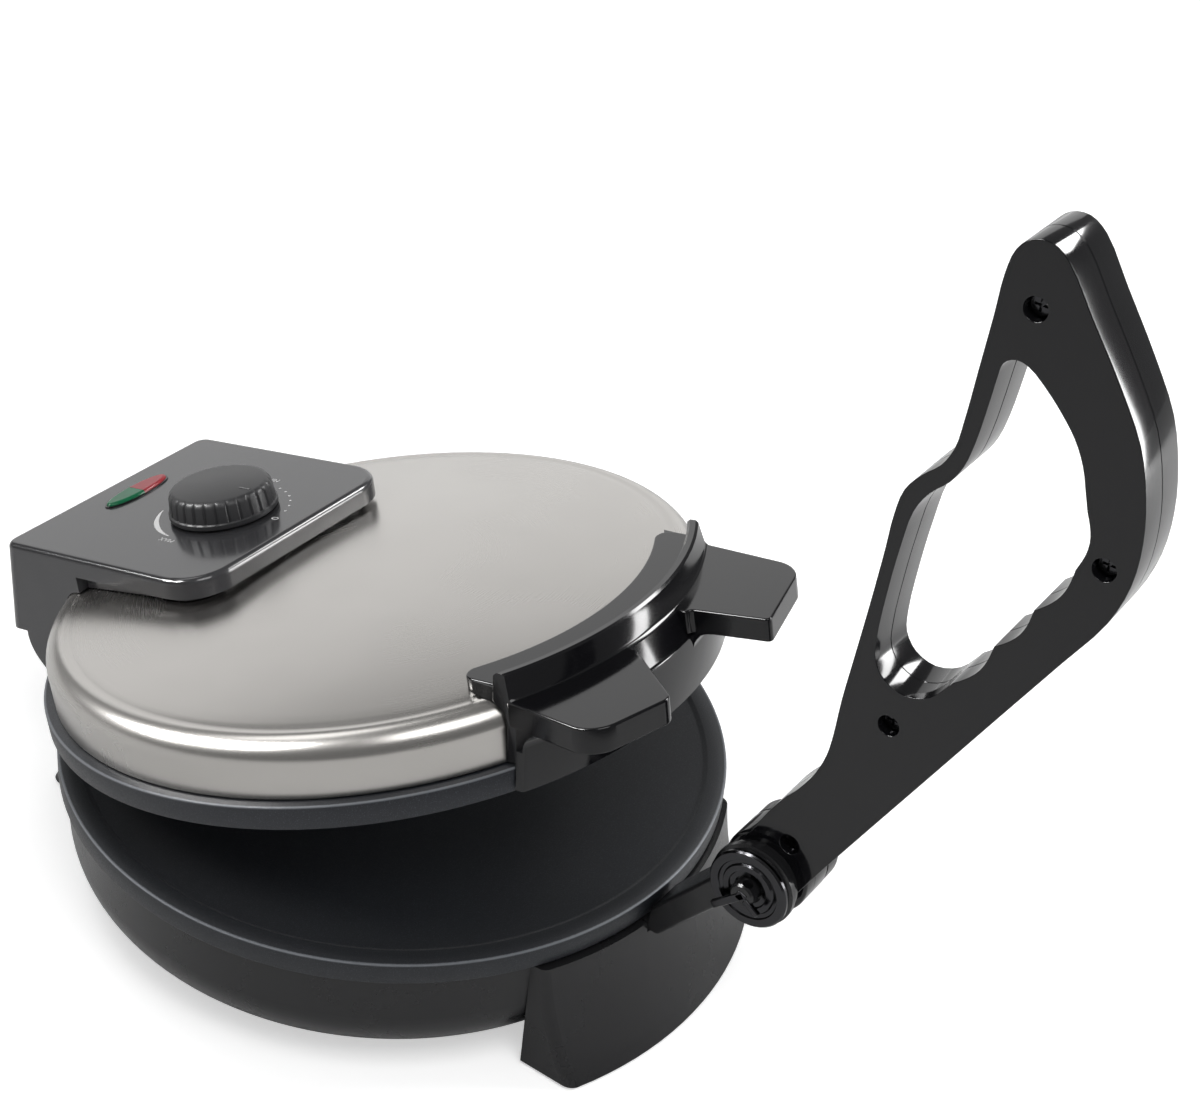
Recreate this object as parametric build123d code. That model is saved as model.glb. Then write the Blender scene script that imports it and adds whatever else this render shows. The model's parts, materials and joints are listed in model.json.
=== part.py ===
"""Electric roti maker: hinged lid, press lever, thermostat knob. All sizes in millimetres.

Axes: X across the front, -Y towards the front where the press lever stands, +Z up.
The machine is drawn with the plate centre on X = Y = 0 and the table at Z = 0, then the whole
set is moved so that the origin lies under the middle of its bounding box.
Lid pieces are drawn closed and then swung open about the hinge pin by LID_REST_DEG.
"""
import os
from math import atan2, cos, degrees, hypot, radians, sin, sqrt

from build123d import *

# ---------------------------------------------------------------- heights of the base
PAD_PROUD = 1.5            # rubber pads stand this far below the feet
FOOT_BOTTOM_Z = PAD_PROUD  # underside of the moulded feet
BOWL_BOTTOM_Z = 6.2        # underside of the bowl
RIM_TOP_Z = 63.2           # top of the lower plate rim

# ---------------------------------------------------------------- bowl shaped housing
BOWL_TOP_R = 134.0         # the plates, lid, feet, hinge and lever arm follow this radius
BOWL_DRAFT = 0.6
BOWL_SHOULDER_R = BOWL_TOP_R - BOWL_DRAFT
BOWL_SHOULDER_Z = 32.0
BOWL_CORNER_IN = 23.0
BOWL_FLOOR_R = BOWL_TOP_R - BOWL_CORNER_IN
BOWL_WALL = 2.8
PLATE_SEAT_GAP = 0.7       # dark line between bowl edge and plate rim
VENT_COUNT = 18
VENT_RING_R = 62.0
VENT_LEN = 34.0
VENT_W = 5.0

# ---------------------------------------------------------------- cooking plates
PLATE_OVERHANG = 3.0
PLATE_R = BOWL_TOP_R + PLATE_OVERHANG
PLATE_RIM_T = 9.2          # height of the rim band
PLATE_RIM_W = 8.0          # width of the flat rim band
PLATE_RECESS = 1.2         # cooking face lies this far below the rim
PLATE_T = 5.0              # casting thickness under the cooking face
UPPER_PLATE_SET_IN = 1.5
UPPER_PLATE_R = PLATE_R - UPPER_PLATE_SET_IN
UPPER_RIM_T = 9.3
CLOSED_GAP = 0.6           # rim to rim with the lid shut
HEATER_FROM_RIM = 53.0
HEATER_RING_R = PLATE_R - HEATER_FROM_RIM
HEATER_TUBE_R = 3.3
HEATER_FIT = 0.15          # element to groove clearance
HEATER_SWEEP_DEG = 322.0
GROOVE_WALL = 3.2
GROOVE_DEPTH = 4.6
HEATER_Z = -(PLATE_RECESS + PLATE_T + GROOVE_DEPTH - 0.4)
SHIELD_TOP = HEATER_Z - HEATER_TUBE_R - 0.2
SHIELD_T = 0.8
SHIELD_IN_R = 18.0
SHIELD_FROM_RIM = 19.0
SHIELD_R = PLATE_R - SHIELD_FROM_RIM
ARM_BOSS_W = 28.0          # boss in the bowl that the arm is screwed to
ARM_BOSS_PLAY = 1.5
PLATE_BOSS_R = 6.0
PLATE_BOSS_FROM_RIM = 29.0
PLATE_BOSS_RING_R = PLATE_R - PLATE_BOSS_FROM_RIM
PLATE_BOLT_R = 2.0
PLATE_BOLT_ANGLES = (45.0, 135.0, 225.0, 315.0)

# ---------------------------------------------------------------- feet
FOOT_HALF_W = 65.0
FRONT_FOOT_PROUD = 5.2
FRONT_FOOT_SPLAY = 21.0
FRONT_FOOT_TOP_R = BOWL_TOP_R + FRONT_FOOT_PROUD
FRONT_FOOT_BOTTOM_R = BOWL_TOP_R + FRONT_FOOT_SPLAY
FOOT_FLARE_SAG = 2.6       # how far the flared face bows in between top and bottom
FOOT_DEPTH = 17.0
FOOT_INNER_Y = BOWL_TOP_R - FOOT_DEPTH
FOOT_WALL = 3.0
FOOT_CORNER_R = 5.0
FRONT_FOOT_TOP_Z = RIM_TOP_Z - PLATE_RIM_T - 1.4
REAR_FOOT_TOP_Z = 25.0
REAR_FOOT_PROUD = 9.0
REAR_FOOT_SPLAY = 17.0
REAR_FOOT_TOP_R = BOWL_TOP_R + REAR_FOOT_PROUD
REAR_FOOT_BOTTOM_R = BOWL_TOP_R + REAR_FOOT_SPLAY
PAD_R = 6.5
PAD_DEPTH = 1.8
FOOT_COVER_T = 3.4
FOOT_COVER_FIT = 0.2
PAD_X = 52.0
PAD_FRONT_Y = BOWL_TOP_R - 1.0
PAD_REAR_Y = BOWL_TOP_R - 4.0

# ---------------------------------------------------------------- lever pivot and its arm
PIVOT_REACH = 43.5
PIVOT_Y = -(BOWL_TOP_R + PIVOT_REACH)
PIVOT_Z = RIM_TOP_Z + 31.4
SHAFT_R = 5.0
SHAFT_RUN_FIT = 0.06       # radial clearance of the shaft in the lever bush
HUB_R = 17.0               # arm hub
COLLAR_R = 16.3            # end cap
BOLT_HEAD_R = 17.2
LEVER_HUB_R = 17.4         # round boss of the lever between hub and bolt head
LEVER_HUB_STEP = 3.4       # boss stays this far below the side face
ARM_NEAR_X = -17.5
ARM_WIDTH = 17.0
LEVER_HUB_HALF = 10.0      # half thickness of the lever at the pivot
SIDE_PLAY = 0.3            # lever to hub and to bolt head
ARM_HUB_X1 = -(LEVER_HUB_HALF + SIDE_PLAY)
CAP_T = 2.2
CAP_RECESS_R = 10.6
CAP_RECESS = 1.2
BOLT_HEAD_T = 8.5
SHAFT_PROUD = 4.4
SPLIT_PIN_SET = 2.6        # pin centre from the shaft end
SPLIT_PIN_R = 1.9
SPLIT_PIN_DEG = 10.0      # direction of the pin across the shaft
ARM_TONGUE_T = 4.2
ARM_TONGUE_TOP_Z = RIM_TOP_Z - PLATE_RIM_T - 1.3
ARM_TONGUE_IN = 26.0
ARM_TONGUE_END_Y = -(BOWL_TOP_R - ARM_TONGUE_IN)
ARM_SLOT_PLAY = 0.35
ARM_SCREW_Y = (-(BOWL_TOP_R - 10.0), -(BOWL_TOP_R - 20.0))
ARM_BEND_Y = -(BOWL_TOP_R + 4.5)
ARM_SCREW_R = 2.0

# ---------------------------------------------------------------- press lever
LEVER_TIP_HALF = 13.2      # half thickness at the grip
LEVER_TIP_Q = 250.0
LEVER_EDGE_R = 1.5         # rounded outer edge
LEVER_WALL = 3.0
LEVER_FACE_T = 3.2
WINDOW_EDGE_R = 0.8
LEVER_HOLE_R = 4.0
LEVER_HOLE_DEPTH = 6.0
LEVER_BOSS_R = 5.6
LEVER_SCREW_R = 1.8
LEVER_SCREW_HEAD_R = 3.4
BUSH_R = 7.4
CORE_T = 3.0               # steel strip between the two halves
CORE_W = 13.0
LEVER_HOLES = ((54.5, 255.9), (94.0, 181.8), (36.6, 90.7), (8.9, 20.8))

# ---------------------------------------------------------------- lid
LID_REST_DEG = 14.9        # lid stands open this far at rest
LID_LIFT = 2.3             # gap left between the shut plates for the flatbread
LID_BACK = 1.2             # shut lid sits this far behind the lower plate
HINGE_BEHIND_BOWL = 4.0
HINGE_Y = BOWL_TOP_R + HINGE_BEHIND_BOWL
HINGE_Z = RIM_TOP_Z - 10.0
SHELL_SET_IN = 4.3
SHELL_R = UPPER_PLATE_R - SHELL_SET_IN
SHELL_T = 0.8
SHELL_SIDE_TOP = 24.0      # heights on the lid are above the rim plane of the shut lid
SHOULDER_R = 9.0
DOME_RISE = 6.6
SHELL_BOTTOM = 10.4

# ---------------------------------------------------------------- lid handle
FLANGE_W = 25.2
FLANGE_IN_R = SHELL_R - FLANGE_W
FLANGE_T = 2.2
FLANGE_CORNER_R = 5.0
FLANGE_NEAR_X = -61.0
FLANGE_FAR_X = 70.5
HANDLE_NEAR_TOP_X = -62.6  # end faces of the moulding splay outwards as they go down
HANDLE_NEAR_FOOT_X = -68.5
HANDLE_FAR_TOP_X = 70.2
HANDLE_FAR_FOOT_X = 72.5
RIDGE_IN_R = SHELL_R - 2.6
RIDGE_T = 4.0
RIDGE_OUT_R = RIDGE_IN_R + RIDGE_T
RIDGE_TOP = 44.0
EAR_TOP = 35.0
EAR_T = 9.4
SLOT_ROOT_R = SHELL_R + 8.0
SKIRT_R = SHELL_R + 8.8
SKIRT_BOTTOM = 1.6
SKIRT_LEDGE = 24.5
SKIRT_IN_R = SHELL_R + 5.1
GUSSET_R = 5.0             # hollow fillet between ears and skirt
HANDLE_FIT = 0.25          # moulding to steel
HANDLE_SCREW_DEG = 14.0
HANDLE_SCREW_Z = 17.0
HANDLE_SCREW_R = 1.7

# ---------------------------------------------------------------- control box on the lid
BOX_HALF_W = 59.4
BOX_FRONT_Y = 36.5
BOX_BEHIND_HINGE = 10.5
BOX_REAR_Y = HINGE_Y + BOX_BEHIND_HINGE
BOX_REAR_LEAN = 10.0       # rear wall stands out this much further at its foot
BOX_TOP = 49.1
BOX_FOOT = 8.0
BOX_WALL = 2.4
BOX_CORNER_R = 19.0
BOX_REAR_CORNER_R = 6.0
BOX_EDGE_R = 2.6
BOX_TO_SHELL = 0.35
PLINTH_INSET = 5.0         # part under the lip is set back this far
LIP_BOTTOM = 40.5
LIP_END_Y = SHELL_R - 24.2
LEAN = BOX_REAR_LEAN / (BOX_TOP - BOX_FOOT)
GLAND_X = 30.0
GLAND_Z = 22.0
GLAND_R = 5.0
KNOB_Y = 77.5
LENS_X = 1.0
LENS_Y = BOX_REAR_Y - 17.6
LENS_HALF_L = 17.0
LENS_HALF_W = 5.2
LENS_PROUD = 1.6
LENS_SPLIT_GAP = 0.15

# ---------------------------------------------------------------- knob
KNOB_R = 22.8
KNOB_TOP_R = 20.9
KNOB_H = 11.6
KNOB_LIFT = 1.0            # gap under the knob
KNOB_FLUTES = 24
KNOB_SHAFT_R = 3.0
KNOB_SHAFT_FIT = 0.3

# ---------------------------------------------------------------- hinge
PIN_R = 2.7
PIN_RUN_FIT = 0.06
PIN_HEAD_R = 4.6
PIN_HEAD_T = 1.4
CHEEK_IN_X = 46.0          # hinge ribs of the control box
CHEEK_OUT_X = 53.4
CHEEK_R = 6.8
LUG_IN_X = 38.0
LUG_PLAY = 0.4
LUG_R = 6.2
BLOCK_BEHIND_HINGE = 9.0
BLOCK_REAR_Y = HINGE_Y + BLOCK_BEHIND_HINGE
BLOCK_FIT = 0.3            # bracket to bowl wall
HINGE_LID_Y = HINGE_Y - LID_BACK            # hinge axis seen from the lid frame
HINGE_LID_Z = HINGE_Z - RIM_TOP_Z - LID_LIFT
BLOCK_SCREW_X = 30.0
BLOCK_SCREW_Z = 34.0
BLOCK_SCREW_R = 2.0

PARTS = {}


def put(name, shape):
    """Store one finished node."""
    PARTS[name] = shape


def spun(face, centre_deg=0.0, half_deg=180.0):
    """Solid of revolution about Z over centre_deg +- half_deg from a face drawn on XZ."""
    return Rot(0, 0, centre_deg - half_deg) * revolve(face, Axis.Z, 2 * half_deg)


def rz_face(points):
    """Face on the XZ plane through (radius, height) points."""
    return Plane.XZ * make_face(Polyline(*points, close=True))


def yz_solid(edges, x0, x1):
    """Prism along X from x0 to x1 over a closed outline given in (y, z)."""
    return Pos(x0, 0, 0) * extrude(Plane.YZ * make_face(edges), x1 - x0)


def rod_x(radius, x0, x1, y, z):
    """Round bar along X."""
    return Pos((x0 + x1) / 2, y, z) * Rot(0, 90, 0) * Cylinder(radius, x1 - x0)


def rod_z(radius, z0, z1, x, y):
    """Round bar along Z."""
    return Pos(x, y, (z0 + z1) / 2) * Cylinder(radius, z1 - z0)


def block(x0, x1, y0, y1, z0, z1):
    """Rectangular block between two corners."""
    middle = Pos((x0 + x1) / 2, (y0 + y1) / 2, (z0 + z1) / 2)
    return middle * Box(abs(x1 - x0), abs(y1 - y0), abs(z1 - z0))


def ring_points(radius, angles):
    """XY points on a circle."""
    return [(radius * cos(radians(a)), radius * sin(radians(a))) for a in angles]


def fuse(items):
    """Union of a list of solids."""
    total = items[0]
    for item in items[1:]:
        total = total + item
    return total


def opened(shape):
    """Swing a closed-lid shape to its rest angle; lid heights count from the rim plane."""
    lifted = Pos(0, LID_BACK, RIM_TOP_Z + LID_LIFT) * shape
    about = Pos(0, HINGE_Y, HINGE_Z) * Rot(-LID_REST_DEG, 0, 0) * Pos(0, -HINGE_Y, -HINGE_Z)
    return about * lifted


# ================================================================ base
def bowl_outline(inset):
    """Closed (radius, height) edges of the bowl, moved inwards by inset."""
    top_z = RIM_TOP_Z - PLATE_RIM_T - PLATE_SEAT_GAP
    low_z = BOWL_BOTTOM_Z + inset
    mid_r = (BOWL_SHOULDER_R + BOWL_FLOOR_R) / 2 + 4.2 - inset * 0.75
    mid_z = (BOWL_SHOULDER_Z + BOWL_BOTTOM_Z) / 2 - 4.6 + inset * 0.66
    return Plane.XZ * make_face([
        Line((0, low_z), (BOWL_FLOOR_R - inset * 0.45, low_z)),
        ThreePointArc((BOWL_FLOOR_R - inset * 0.45, low_z), (mid_r, mid_z),
                      (BOWL_SHOULDER_R - inset, BOWL_SHOULDER_Z)),
        Line((BOWL_SHOULDER_R - inset, BOWL_SHOULDER_Z), (BOWL_TOP_R - inset, top_z)),
        Line((BOWL_TOP_R - inset, top_z), (0, top_z)),
        Line((0, top_z), (0, low_z)),
    ])


def foot_outline(top_r, bottom_r, top_z, inset, inner_y, floor_z):
    """(radius, height) face of a foot whose outer side flares out towards the table."""
    mid_r = (top_r + bottom_r) / 2 - FOOT_FLARE_SAG - inset
    mid_z = (top_z + FOOT_BOTTOM_Z) / 2
    high_z = top_z - inset
    return Plane.XZ * make_face([
        Line((inner_y + inset, floor_z), (bottom_r - inset, floor_z)),
        ThreePointArc((bottom_r - inset, floor_z), (mid_r, mid_z), (top_r - inset, high_z)),
        Line((top_r - inset, high_z), (inner_y + inset, high_z)),
        Line((inner_y + inset, high_z), (inner_y + inset, floor_z)),
    ])


def foot_block(front):
    """One wide foot: flared outer face, square ends, hollow from below."""
    top_r, bottom_r, top_z = REAR_FOOT_TOP_R, REAR_FOOT_BOTTOM_R, REAR_FOOT_TOP_Z
    centre = 90.0
    side = 1
    if front:
        top_r, bottom_r, top_z = FRONT_FOOT_TOP_R, FRONT_FOOT_BOTTOM_R, FRONT_FOOT_TOP_Z
        centre = -90.0
        side = -1
    root = FOOT_INNER_Y * 0.8
    reach = side * (bottom_r + 10)
    outer = spun(foot_outline(top_r, bottom_r, top_z, 0, root, FOOT_BOTTOM_Z), centre, 48)
    inner = spun(foot_outline(top_r, bottom_r, top_z, FOOT_WALL, root, FOOT_BOTTOM_Z), centre, 48)
    keep = block(-FOOT_HALF_W, FOOT_HALF_W, reach, side * FOOT_INNER_Y, 0, RIM_TOP_Z)
    inner_w = FOOT_HALF_W - FOOT_WALL
    hollow = block(-inner_w, inner_w, reach, side * (FOOT_INNER_Y + FOOT_WALL), -1, RIM_TOP_Z)
    solid = outer & keep
    corners = solid.edges().filter_by(lambda e: abs(e.center().X) > FOOT_HALF_W - 1
                                      and abs(e.center().Y) > FOOT_INNER_Y + 6
                                      and e.bounding_box().size.Z > 10)
    solid = fillet(corners, FOOT_CORNER_R)
    return solid, inner & hollow


def housing():
    """Bowl, both feet and the boss that carries the lever arm, in one moulding."""
    bowl = spun(bowl_outline(0))
    hollow = spun(bowl_outline(BOWL_WALL))
    front, front_hollow = foot_block(True)
    rear, rear_hollow = foot_block(False)
    solid = bowl + front + rear
    solid -= (front_hollow + rear_hollow) - bowl
    solid -= hollow
    solid -= rod_z(BOWL_TOP_R - BOWL_WALL, FRONT_FOOT_TOP_Z + 0.6, RIM_TOP_Z, 0, 0)
    floor_top = BOWL_BOTTOM_Z + BOWL_WALL
    tongue_bottom = ARM_TONGUE_TOP_Z - ARM_TONGUE_T
    arm_mid = ARM_NEAR_X + ARM_WIDTH / 2
    boss_out = ARM_TONGUE_END_Y - 22
    boss_in = ARM_TONGUE_END_Y + 2
    half = ARM_BOSS_W / 2
    boss = block(arm_mid - half, arm_mid + half, boss_out, boss_in, floor_top - 1, tongue_bottom)
    boss -= block(arm_mid - half + 3, arm_mid + half - 3, boss_out + 3, boss_in - 3, floor_top,
                  tongue_bottom - 9)
    solid += boss & spun(bowl_outline(1.0))
    for x, y in ring_points(PLATE_BOSS_RING_R, PLATE_BOLT_ANGLES):
        solid += rod_z(PLATE_BOSS_R, BOWL_BOTTOM_Z, floor_top + 8, x, y) & spun(bowl_outline(0.0))
        solid -= rod_z(PLATE_BOLT_R + 0.25, 0, floor_top + 9, x, y)
        solid -= rod_z(PLATE_BOLT_R + 2.4, 0, BOWL_BOTTOM_Z + 3.4, x, y)
    slot_x0 = ARM_NEAR_X - ARM_SLOT_PLAY
    slot_x1 = ARM_NEAR_X + ARM_WIDTH + ARM_SLOT_PLAY
    solid -= block(slot_x0, slot_x1, PIVOT_Y + 17, 7 - BOWL_TOP_R, tongue_bottom - ARM_SLOT_PLAY, RIM_TOP_Z)
    for y in ARM_SCREW_Y:
        solid -= rod_z(ARM_SCREW_R - 0.2, tongue_bottom - 14, tongue_bottom + 1, arm_mid, y)
    for angle in range(0, 360, 360 // VENT_COUNT):
        slot = SlotOverall(VENT_LEN, VENT_W)
        solid -= Pos(0, 0, -1) * Rot(0, 0, angle) * Pos(VENT_RING_R, 0, 0) * extrude(slot, 20)
    for x in (-BLOCK_SCREW_X, BLOCK_SCREW_X):
        solid -= Pos(x, BOWL_TOP_R - 4, BLOCK_SCREW_Z) * Rot(90, 0, 0) * Cylinder(BLOCK_SCREW_R + 0.2, 16)
    return solid


def foot_covers():
    """Plates snapped into the feet from below; the rubber pads sit in them."""
    covers = []
    shapes = ((FRONT_FOOT_TOP_R, FRONT_FOOT_BOTTOM_R, FRONT_FOOT_TOP_Z, -1),
              (REAR_FOOT_TOP_R, REAR_FOOT_BOTTOM_R, REAR_FOOT_TOP_Z, 1))
    gap = FOOT_WALL + FOOT_COVER_FIT
    half = FOOT_HALF_W - gap
    for top_r, bottom_r, top_z, side in shapes:
        outline = foot_outline(top_r, bottom_r, top_z, gap, FOOT_INNER_Y * 0.8, FOOT_BOTTOM_Z)
        solid = spun(outline, side * 90.0, 48)
        solid &= block(-half, half, side * (bottom_r + 10), side * (FOOT_INNER_Y + gap), FOOT_BOTTOM_Z,
                       FOOT_BOTTOM_Z + FOOT_COVER_T)
        for x, y in pad_points():
            solid -= rod_z(PAD_R + 0.1, FOOT_BOTTOM_Z - 1, FOOT_BOTTOM_Z + PAD_DEPTH, x, y)
        covers.append(solid)
    return Compound(children=covers)


def pad_points():
    """Centres of the four rubber pads."""
    return [(-PAD_X, -PAD_FRONT_Y), (PAD_X, -PAD_FRONT_Y), (-PAD_X, PAD_REAR_Y), (PAD_X, PAD_REAR_Y)]


def foot_pads():
    """Four round rubber pads pushed into the feet."""
    pads = []
    for x, y in pad_points():
        pad = rod_z(PAD_R, 0, FOOT_BOTTOM_Z + PAD_DEPTH, x, y)
        pads.append(chamfer(pad.edges().group_by(Axis.Z)[0], 0.6))
    return Compound(children=pads)


def plate_solid(rim_r, rim_t, up):
    """Cast cooking plate drawn with the rim plane at z = 0 and the back below it."""
    face_z = -PLATE_RECESS
    back_z = face_z - PLATE_T
    groove_out = HEATER_RING_R + HEATER_TUBE_R + HEATER_FIT + GROOVE_WALL
    groove_in = HEATER_RING_R - HEATER_TUBE_R - HEATER_FIT - GROOVE_WALL
    wall_z = back_z - GROOVE_DEPTH
    body = spun(rz_face([
        (0, face_z), (rim_r - PLATE_RIM_W - 1.6, face_z), (rim_r - PLATE_RIM_W, 0), (rim_r - 0.5, 0),
        (rim_r, -0.5), (rim_r, -rim_t + 0.6), (rim_r - 0.6, -rim_t), (rim_r - 8.2, -rim_t),
        (rim_r - 9.2, back_z), (groove_out, back_z), (groove_out, wall_z), (groove_in, wall_z),
        (groove_in, back_z), (0, back_z)]))
    tube = Plane.XZ * Pos(HEATER_RING_R, HEATER_Z) * Circle(HEATER_TUBE_R + HEATER_FIT)
    ring = revolve(tube, Axis.Z, 360)
    body -= ring
    for x, y in ring_points(PLATE_BOSS_RING_R, PLATE_BOLT_ANGLES):
        body += rod_z(PLATE_BOSS_R, SHIELD_TOP, face_z - 1, x, y)
        body -= rod_z(PLATE_BOLT_R, SHIELD_TOP - 1, face_z - 2.4, x, y)
    if up:
        body = Pos(0, 0, CLOSED_GAP) * Rot(180, 0, 0) * body
    return body


def heater_solid(up):
    """Tubular element: nearly closed ring with two turned ends."""
    ring = revolve(Plane.XZ * Pos(HEATER_RING_R, HEATER_Z) * Circle(HEATER_TUBE_R), Axis.Z, HEATER_SWEEP_DEG)
    body = Rot(0, 0, 90 + (360 - HEATER_SWEEP_DEG) / 2) * ring
    for sign in (-1, 1):
        angle = 90 + sign * (360 - HEATER_SWEEP_DEG) / 2
        x, y = HEATER_RING_R * cos(radians(angle)), HEATER_RING_R * sin(radians(angle))
        body += rod_z(HEATER_TUBE_R, HEATER_Z - 8, HEATER_Z, x, y)
        body += Pos(x, y, HEATER_Z) * Sphere(HEATER_TUBE_R)
        body += rod_z(1.2, HEATER_Z - 13, HEATER_Z - 8, x, y)
    if up:
        body = Pos(0, 0, CLOSED_GAP) * Rot(180, 0, 0) * body
    return body


def heater_shield(up):
    """Pressed heat shield held against the plate bosses, with a hole for each turned element end."""
    z = SHIELD_TOP
    disc = spun(rz_face([(SHIELD_IN_R, z), (SHIELD_R, z), (SHIELD_R, z - 4), (SHIELD_R - SHIELD_T, z - 4),
                         (SHIELD_R - SHIELD_T, z - SHIELD_T), (SHIELD_IN_R + SHIELD_T, z - SHIELD_T),
                         (SHIELD_IN_R + SHIELD_T, z - 3), (SHIELD_IN_R, z - 3)]))
    for x, y in ring_points(PLATE_BOSS_RING_R, PLATE_BOLT_ANGLES):
        disc -= rod_z(PLATE_BOLT_R + 0.3, z - 2, z + 1, x, y)
    for sign in (-1, 1):
        x, y = ring_points(HEATER_RING_R, (90 + sign * (360 - HEATER_SWEEP_DEG) / 2,))[0]
        disc -= rod_z(HEATER_TUBE_R + 1.2, z - 3, z + 3, x, y)
    if not up:
        arm_mid = ARM_NEAR_X + ARM_WIDTH / 2
        half = ARM_BOSS_W / 2 + ARM_BOSS_PLAY
        disc -= block(arm_mid - half, arm_mid + half, -SHIELD_R - 7, ARM_TONGUE_END_Y + 6, z - 6, z + 1)
    if up:
        disc = Pos(0, 0, CLOSED_GAP) * Rot(180, 0, 0) * disc
    return disc


def lower_bolts_and_spacers():
    """Long bolts through the bowl floor, each inside a spacer tube under the plate."""
    shield_z = RIM_TOP_Z + SHIELD_TOP - SHIELD_T
    floor_top = BOWL_BOTTOM_Z + BOWL_WALL + 8
    bolts = []
    tubes = []
    for x, y in ring_points(PLATE_BOSS_RING_R, PLATE_BOLT_ANGLES):
        head = rod_z(PLATE_BOLT_R + 1.9, BOWL_BOTTOM_Z + 0.6, BOWL_BOTTOM_Z + 3.3, x, y)
        head -= block(x - 3, x + 3, y - 0.5, y + 0.5, BOWL_BOTTOM_Z, BOWL_BOTTOM_Z + 1.8)
        shank = rod_z(PLATE_BOLT_R - 0.25, BOWL_BOTTOM_Z + 3.3, RIM_TOP_Z - PLATE_RECESS - 4, x, y)
        bolts.append(head + shank)
        tube = rod_z(4.2, floor_top, shield_z, x, y)
        tubes.append(tube - rod_z(PLATE_BOLT_R + 0.2, floor_top - 1, 99, x, y))
    return Compound(children=bolts), Compound(children=tubes)


# ================================================================ lever arm and pivot
def arm_outline():
    """Side view of the arm: flat tongue under the plate rim, cranked strut up to the hub."""
    low = ARM_TONGUE_TOP_Z - ARM_TONGUE_T
    rise = RIM_TOP_Z
    bend = ARM_BEND_Y
    return Polyline((ARM_TONGUE_END_Y, low), (bend - 4.1, low), (PIVOT_Y + 1.5, rise + 27.0),
                    (PIVOT_Y + 1.5, rise + 38.0), (PIVOT_Y + 6.9, rise + 38.0), (bend - 3.4, rise + 1.9),
                    (bend, rise - 3.0), (bend, ARM_TONGUE_TOP_Z), (ARM_TONGUE_END_Y, ARM_TONGUE_TOP_Z),
                    close=True)


def lever_arm():
    """Cast arm fixed to the base; its hub carries the lever shaft on one side only."""
    strut = yz_solid(arm_outline(), ARM_NEAR_X, ARM_NEAR_X + ARM_WIDTH)
    bends = strut.edges().filter_by(Axis.X).filter_by(lambda e: e.center().Y < ARM_BEND_Y + 1)
    low_bend = bends.filter_by(lambda e: e.center().Z < ARM_TONGUE_TOP_Z - 1)
    top_bend = bends.filter_by(lambda e: abs(e.center().Y - ARM_BEND_Y + 3.4) < 0.2)
    strut = fillet(low_bend + top_bend, 2.4)
    sides = [e for e in strut.edges()
             if e.center().Y < ARM_BEND_Y - 6 and abs(e.center().X - ARM_NEAR_X) < 0.1]
    strut = fillet(sides, 1.4)
    strut -= rod_x(22.5, ARM_HUB_X1, ARM_NEAR_X + ARM_WIDTH + 1, PIVOT_Y, PIVOT_Z)
    profile = [(0, ARM_NEAR_X), (COLLAR_R - 0.6, ARM_NEAR_X), (COLLAR_R - 0.6, ARM_NEAR_X + 1.2),
               (HUB_R, ARM_NEAR_X + 1.8), (HUB_R, ARM_NEAR_X + 4.0), (COLLAR_R - 0.4, ARM_NEAR_X + 4.6),
               (COLLAR_R - 0.4, ARM_HUB_X1), (0, ARM_HUB_X1)]
    hub = revolve(Plane.XZ * make_face(Polyline(*profile, close=True)), Axis.Z, 360)
    strut += Pos(0, PIVOT_Y, PIVOT_Z) * Rot(0, 90, 0) * hub
    strut -= rod_x(SHAFT_R + 0.02, ARM_NEAR_X - 1, ARM_HUB_X1 + 1, PIVOT_Y, PIVOT_Z)
    for y in ARM_SCREW_Y:
        strut -= rod_z(ARM_SCREW_R + 0.2, 0, RIM_TOP_Z, ARM_NEAR_X + ARM_WIDTH / 2, y)
    return strut


def arm_screws():
    """Two pan head screws that clamp the tongue to its boss."""
    screws = []
    for y in ARM_SCREW_Y:
        x = ARM_NEAR_X + ARM_WIDTH / 2
        head = rod_z(3.2, ARM_TONGUE_TOP_Z, ARM_TONGUE_TOP_Z + 1.1, x, y)
        shank = rod_z(ARM_SCREW_R - 0.25, ARM_TONGUE_TOP_Z - 12, ARM_TONGUE_TOP_Z, x, y)
        screws.append(head + shank)
    return Compound(children=screws)


def pivot_bolt():
    """Large flat head on the far side, shaft through the lever and the arm hub."""
    x0 = LEVER_HUB_HALF + SIDE_PLAY
    head = rod_x(BOLT_HEAD_R, x0, x0 + BOLT_HEAD_T, PIVOT_Y, PIVOT_Z)
    rims = head.edges().filter_by(GeomType.CIRCLE)
    head = fillet(rims.group_by(Axis.X)[-1], 1.6)
    near = ARM_NEAR_X - CAP_T - SHAFT_PROUD
    shaft = rod_x(SHAFT_R, near, x0, PIVOT_Y, PIVOT_Z)
    shaft = chamfer(shaft.edges().filter_by(GeomType.CIRCLE).group_by(Axis.X)[0], 0.8)
    turn = Pos(near + SPLIT_PIN_SET, PIVOT_Y, PIVOT_Z) * Rot(SPLIT_PIN_DEG, 0, 0)
    cross = turn * Cylinder(SPLIT_PIN_R + 0.15, 30)
    return head + shaft - cross


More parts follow.
